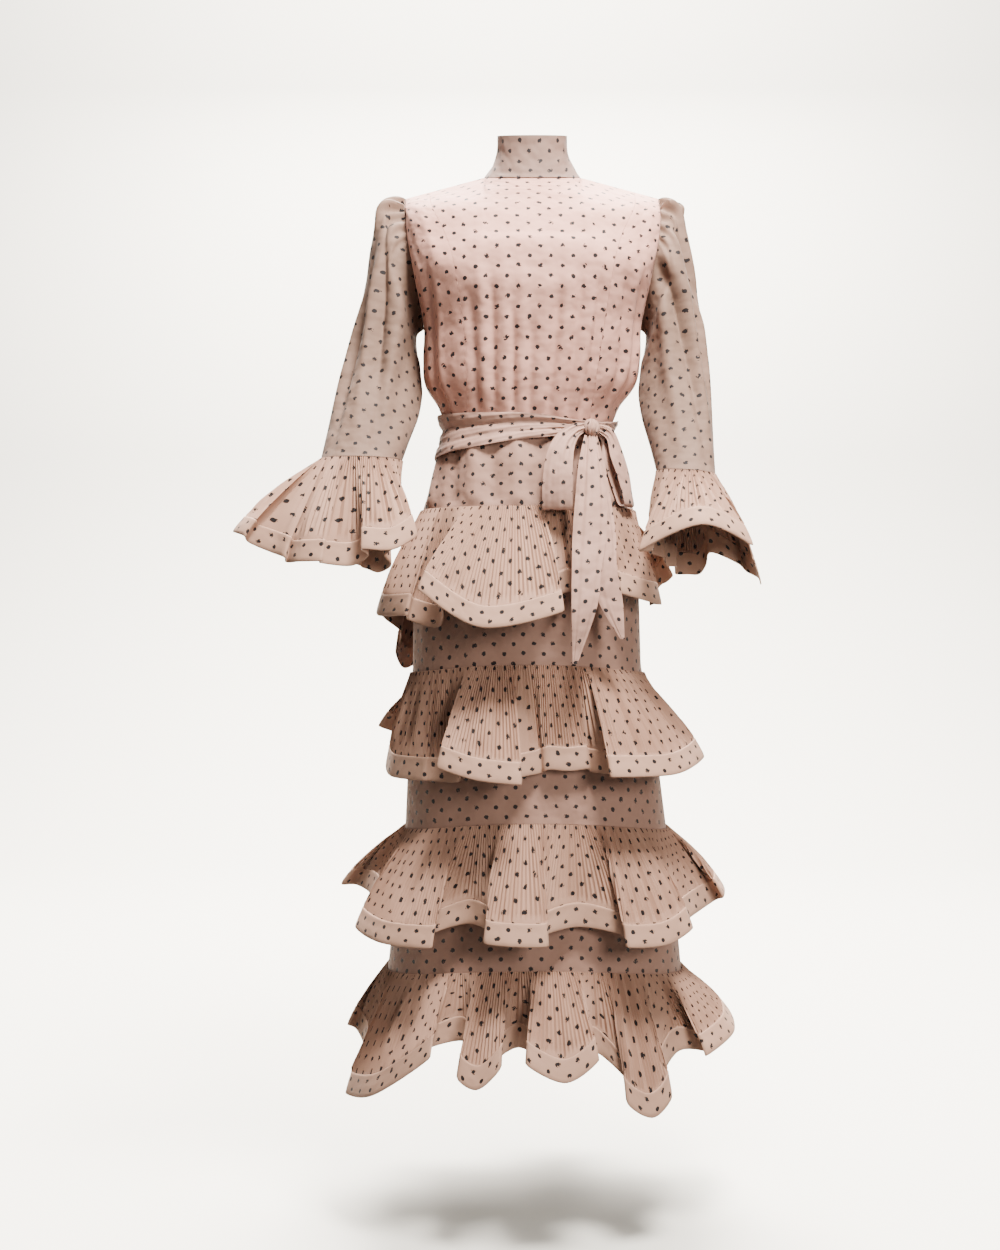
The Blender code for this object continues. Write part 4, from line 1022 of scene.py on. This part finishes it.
# The cuffs: the same pleated flounce and band, sewn to the foot of each sleeve, wide enough to
# stand out like a bell.
CUFF_FOLDS = {
    "left": named_rows(Fold, (
        (-135, 16, 0.072, 0.130, 0.005, 0.000, -110, 0.058, 0.118),
        (-80, 16, 0.121, 0.103, 0.000, -0.008, -60, 0.082, 0.132),
        (-36, 15, 0.070, 0.147, 0.000, 0.000, -5, 0.028, 0.152),
        (26, 21, 0.058, 0.131, 0.000, 0.020, 66, 0.006, 0.115),
        (100, 10, -0.018, 0.128, 0.000, 0.000, 128, -0.018, 0.135),
        (168, 11, 0.024, 0.156, 0.005, 0.005, -170, 0.012, 0.145),
    )),
    "right": named_rows(Fold, (
        (-152, 12, -0.006, 0.130, 0.000, 0.000, -122, -0.006, 0.118),
        (-90, 10, 0.012, 0.112, 0.000, 0.000, -68, 0.022, 0.112),
        (4, 46, 0.067, 0.080, -0.032, -0.024, 76, 0.044, 0.096),
        (104, 14, 0.068, 0.146, -0.010, 0.010, 134, 0.016, 0.110),
        (170, 14, 0.028, 0.140, 0.000, 0.000, -170, 0.010, 0.130),
    )),
}
for name in ("left", "right"):
    last = SLEEVE_ROWS[name][-1]
    middle = np.array(((last.outer_x + last.inner_x) / 2, last.middle_y,
                       (last.outer_z + last.inner_z) / 2))
    half = abs(last.outer_x - last.inner_x) / 2
    rise = (last.outer_z - last.inner_z) / (last.outer_x - last.inner_x)

    def cuff_seam(angle):
        x = half * np.sin(angle)
        return middle + np.stack([x, -last.depth * np.cos(angle), x * rise - 0.0008], axis=-1)

    def cuff_edge(angle, reach, drop):
        return middle + np.stack([(half + reach) * np.sin(angle),
                                  -(last.depth + reach) * np.cos(angle), -drop], axis=-1)
    add_flounce(("cuff_flounce_" + name, "cuff_band_" + name),
                flounce(CUFF_FOLDS[name], cuff_seam, cuff_edge), CUFF_PLEATS, 1, 31,
                flounce_crepe, band_crepe)

# The sash: one long strip wrapped round the waist in soft crossing folds that narrow to the knot.
SashRow = namedtuple("SashRow", "top bottom")
SASH_ROWS = named_rows(SashRow, (
    (-0.357, -0.394),
    (-0.365, -0.386),
    (-0.363, -0.389),
    (-0.355, -0.403),
    (-0.352, -0.408),
    (-0.351, -0.411),
    (-0.351, -0.412),
    (-0.350, -0.413),
    (-0.349, -0.414),
    (-0.348, -0.414),
    (-0.351, -0.410),
    (-0.354, -0.403),
))
WAIST_ROWS = (SkirtRow(-0.338, 0.132, 0.103, 0.089, -0.005),) + SKIRT_ROWS[:2]
sash_crepe = crepe("sash_crepe", (0.37, 0.213, 0.160), (0.325, 0.183, 0.136), sheen=0.08)
# How far the sash stands out from the waist, how thick its folds are and how high its ripples.
SASH_CLEAR, SASH_LAYER, SASH_RIPPLE = 0.0050, 0.0024, 0.0004
across = np.arange(260) / 260
downs = np.linspace(0.02, 0.98, 25)
top = along([row.top for row in SASH_ROWS], across, ring=True)
bottom = along([row.bottom for row in SASH_ROWS], across, ring=True)
drift = 0.10 * np.sin(2 * math.pi * across + 0.6) + 0.05 * np.sin(6 * math.pi * across)
layers = np.abs(np.sin(math.pi * (3 * downs[:, None] + drift[None]))) ** 0.7
fine = SASH_RIPPLE * np.sin(2 * math.pi * (7 * downs[:, None] + 9 * across[None]))
clear = SASH_CLEAR + SASH_LAYER * layers + fine
grid = ring_point(WAIST_ROWS, 2 * math.pi * across[None] + 0 * clear,
                  top[None] + (bottom - top)[None] * downs[:, None], clear)
steps = np.linalg.norm(np.roll(grid, -1, axis=1) - grid, axis=2).mean(axis=0)
cut = square_cut(running(steps), grid)
cloth("sash_wrap", grid, sash_crepe, cut=cut, wall=SASH_WALL, ring=True)

# The bow: a knot with two drooping loops and two tails cut to points, the free ends of the sash.
RibbonRow = namedtuple("RibbonRow", "x y z width turn rise depth")
RIBBON_CURL = 0.10
LOOPS = {
    "bow_loop_left": named_rows(RibbonRow, (
        (0.0702, -0.1025, -0.3770, 0.014, 10, -85, 0.009),
        (0.0570, -0.1160, -0.3840, 0.020, 5, -60, 0.012),
        (0.0430, -0.1330, -0.4000, 0.030, 0, -35, 0.017),
        (0.0345, -0.1460, -0.4250, 0.037, 0, -12, 0.020),
        (0.0315, -0.1510, -0.4600, 0.041, 0, 0, 0.019),
        (0.0315, -0.1490, -0.4920, 0.041, 0, 0, 0.012),
    )),
    "bow_loop_right": named_rows(RibbonRow, (
        (0.0936, -0.0850, -0.3765, 0.013, 40, 85, 0.009),
        (0.1090, -0.0805, -0.3850, 0.020, 45, 55, 0.011),
        (0.1190, -0.0815, -0.4120, 0.030, 50, 25, 0.013),
        (0.1290, -0.0790, -0.4400, 0.034, 55, 8, 0.014),
        (0.1350, -0.0770, -0.4660, 0.034, 60, 0, 0.013),
        (0.1380, -0.0760, -0.4840, 0.032, 60, 0, 0.009),
    )),
}
TAILS = {
    "sash_tail_front": named_rows(RibbonRow, (
        (0.080, -0.0945, -0.3882, 0.018, 15, 0, 0),
        (0.079, -0.120, -0.4300, 0.034, 10, 0, 0),
        (0.078, -0.138, -0.4800, 0.043, 5, 0, 0),
        (0.075, -0.155, -0.5300, 0.046, 5, 0, 0),
        (0.070, -0.173, -0.5800, 0.040, 5, 0, 0),
        (0.066, -0.186, -0.6300, 0.034, 5, 0, 0),
        (0.053, -0.190, -0.7050, 0.006, 5, 0, 0),
    )),
    "sash_tail_back": named_rows(RibbonRow, (
        (0.084, -0.0860, -0.3890, 0.016, 35, 0, 0),
        (0.089, -0.106, -0.4300, 0.026, 30, 0, 0),
        (0.094, -0.121, -0.4800, 0.032, 30, 0, 0),
        (0.098, -0.139, -0.5300, 0.034, 25, 0, 0),
        (0.099, -0.154, -0.5750, 0.030, 20, 0, 0),
        (0.104, -0.160, -0.6200, 0.036, 20, 0, 0),
        (0.119, -0.160, -0.6720, 0.006, 20, 0, 0),
    )),
}


def facing_out(turn):
    return np.stack([np.sin(turn), -np.cos(turn), 0 * turn], axis=-1)


def ribbon(rows, across, downs):
    """A strip of cloth along its middle line, with its edges bent back."""
    table = np.array(rows)
    middle = along(table[:, :3], downs)[:, None]
    turn = np.radians(along(table[:, 4], downs))
    rise = np.radians(along(table[:, 5], downs))
    width = along(table[:, 3], downs)[:, None, None]
    over = np.stack([np.cos(turn) * np.cos(rise), np.sin(turn) * np.cos(rise), np.sin(rise)],
                    axis=-1)[:, None]
    part = across[None, :, None]
    curl = facing_out(turn)[:, None] * width * RIBBON_CURL * part ** 2
    return middle + over * width / 2 * part - curl


def fluting(across, downs, waves, depth, seed):
    """Lengthwise folds that fan out from the knot and soften towards the free end."""
    chance = np.random.default_rng(seed)
    moved = np.zeros((len(downs), len(across)))
    for wave in waves:
        moved += np.cos(math.pi * wave * across[None] + chance.uniform(0, 6) + downs[:, None] * 1.2)
    fade = 1 - 0.75 * ease(downs / 0.8)
    return (depth * moved / len(waves) * fade[:, None])[..., None]


across = np.linspace(-1, 1, 28)
for name, rows in LOOPS.items():
    behind = []
    for row in reversed(rows):
        out = facing_out(np.radians(row.turn)) * row.depth
        behind.append(row._replace(x=row.x - out[0], y=row.y - out[1]))
    downs = np.linspace(0, 1, 110)
    grid = ribbon(rows + tuple(behind), across, downs)
    middle = 1 - np.abs(downs * 2 - 1)
    grid = grid + normals(grid, False, 1) * fluting(across, middle * 0.8, (2, 3.3, 5), 0.0016, 5)
    cloth(name, grid, sash_crepe, wall=BOW_WALL)
for name, rows in TAILS.items():
    downs = np.linspace(0, 1, 120)
    grid = ribbon(rows, across, downs)
    grid = grid + normals(grid, False, 1) * fluting(across, downs, (1.7, 3.1, 4.7), 0.0022, 9)
    cloth(name, grid, sash_crepe, wall=BOW_WALL)

# The knot: a small pillow as high as it is wide, turned out to the side, with valleys round it.
KNOT_PLACE = (0.081, -0.0899, -0.3765)
KNOT_HALF_WIDTH, KNOT_HALF_DEPTH, KNOT_SPIN = 0.0125, 0.0095, 40
turn, tilt = np.meshgrid(np.arange(120) / 120 * 2 * math.pi, np.linspace(-1.5, 1.5, 40))
valley = (0.5 + 0.5 * np.cos(9 * turn + 1.1 * np.sin(tilt * 1.6) + 0.8 * np.sin(2 * turn))) ** 3
pinch = 1.07 - 0.26 * valley * np.cos(tilt) ** 0.5 + 0.05 * np.cos(3 * turn)
x = np.cos(tilt) * np.cos(turn) * KNOT_HALF_WIDTH * pinch
y = np.cos(tilt) * np.sin(turn) * KNOT_HALF_DEPTH * pinch
spin = math.radians(KNOT_SPIN)
knot = np.stack([x * math.cos(spin) - y * math.sin(spin), x * math.sin(spin) + y * math.cos(spin),
                 -np.sin(tilt) * KNOT_HALF_WIDTH], axis=2)
cloth("sash_knot", knot + KNOT_PLACE, sash_crepe, wall=SASH_WALL, ring=True)
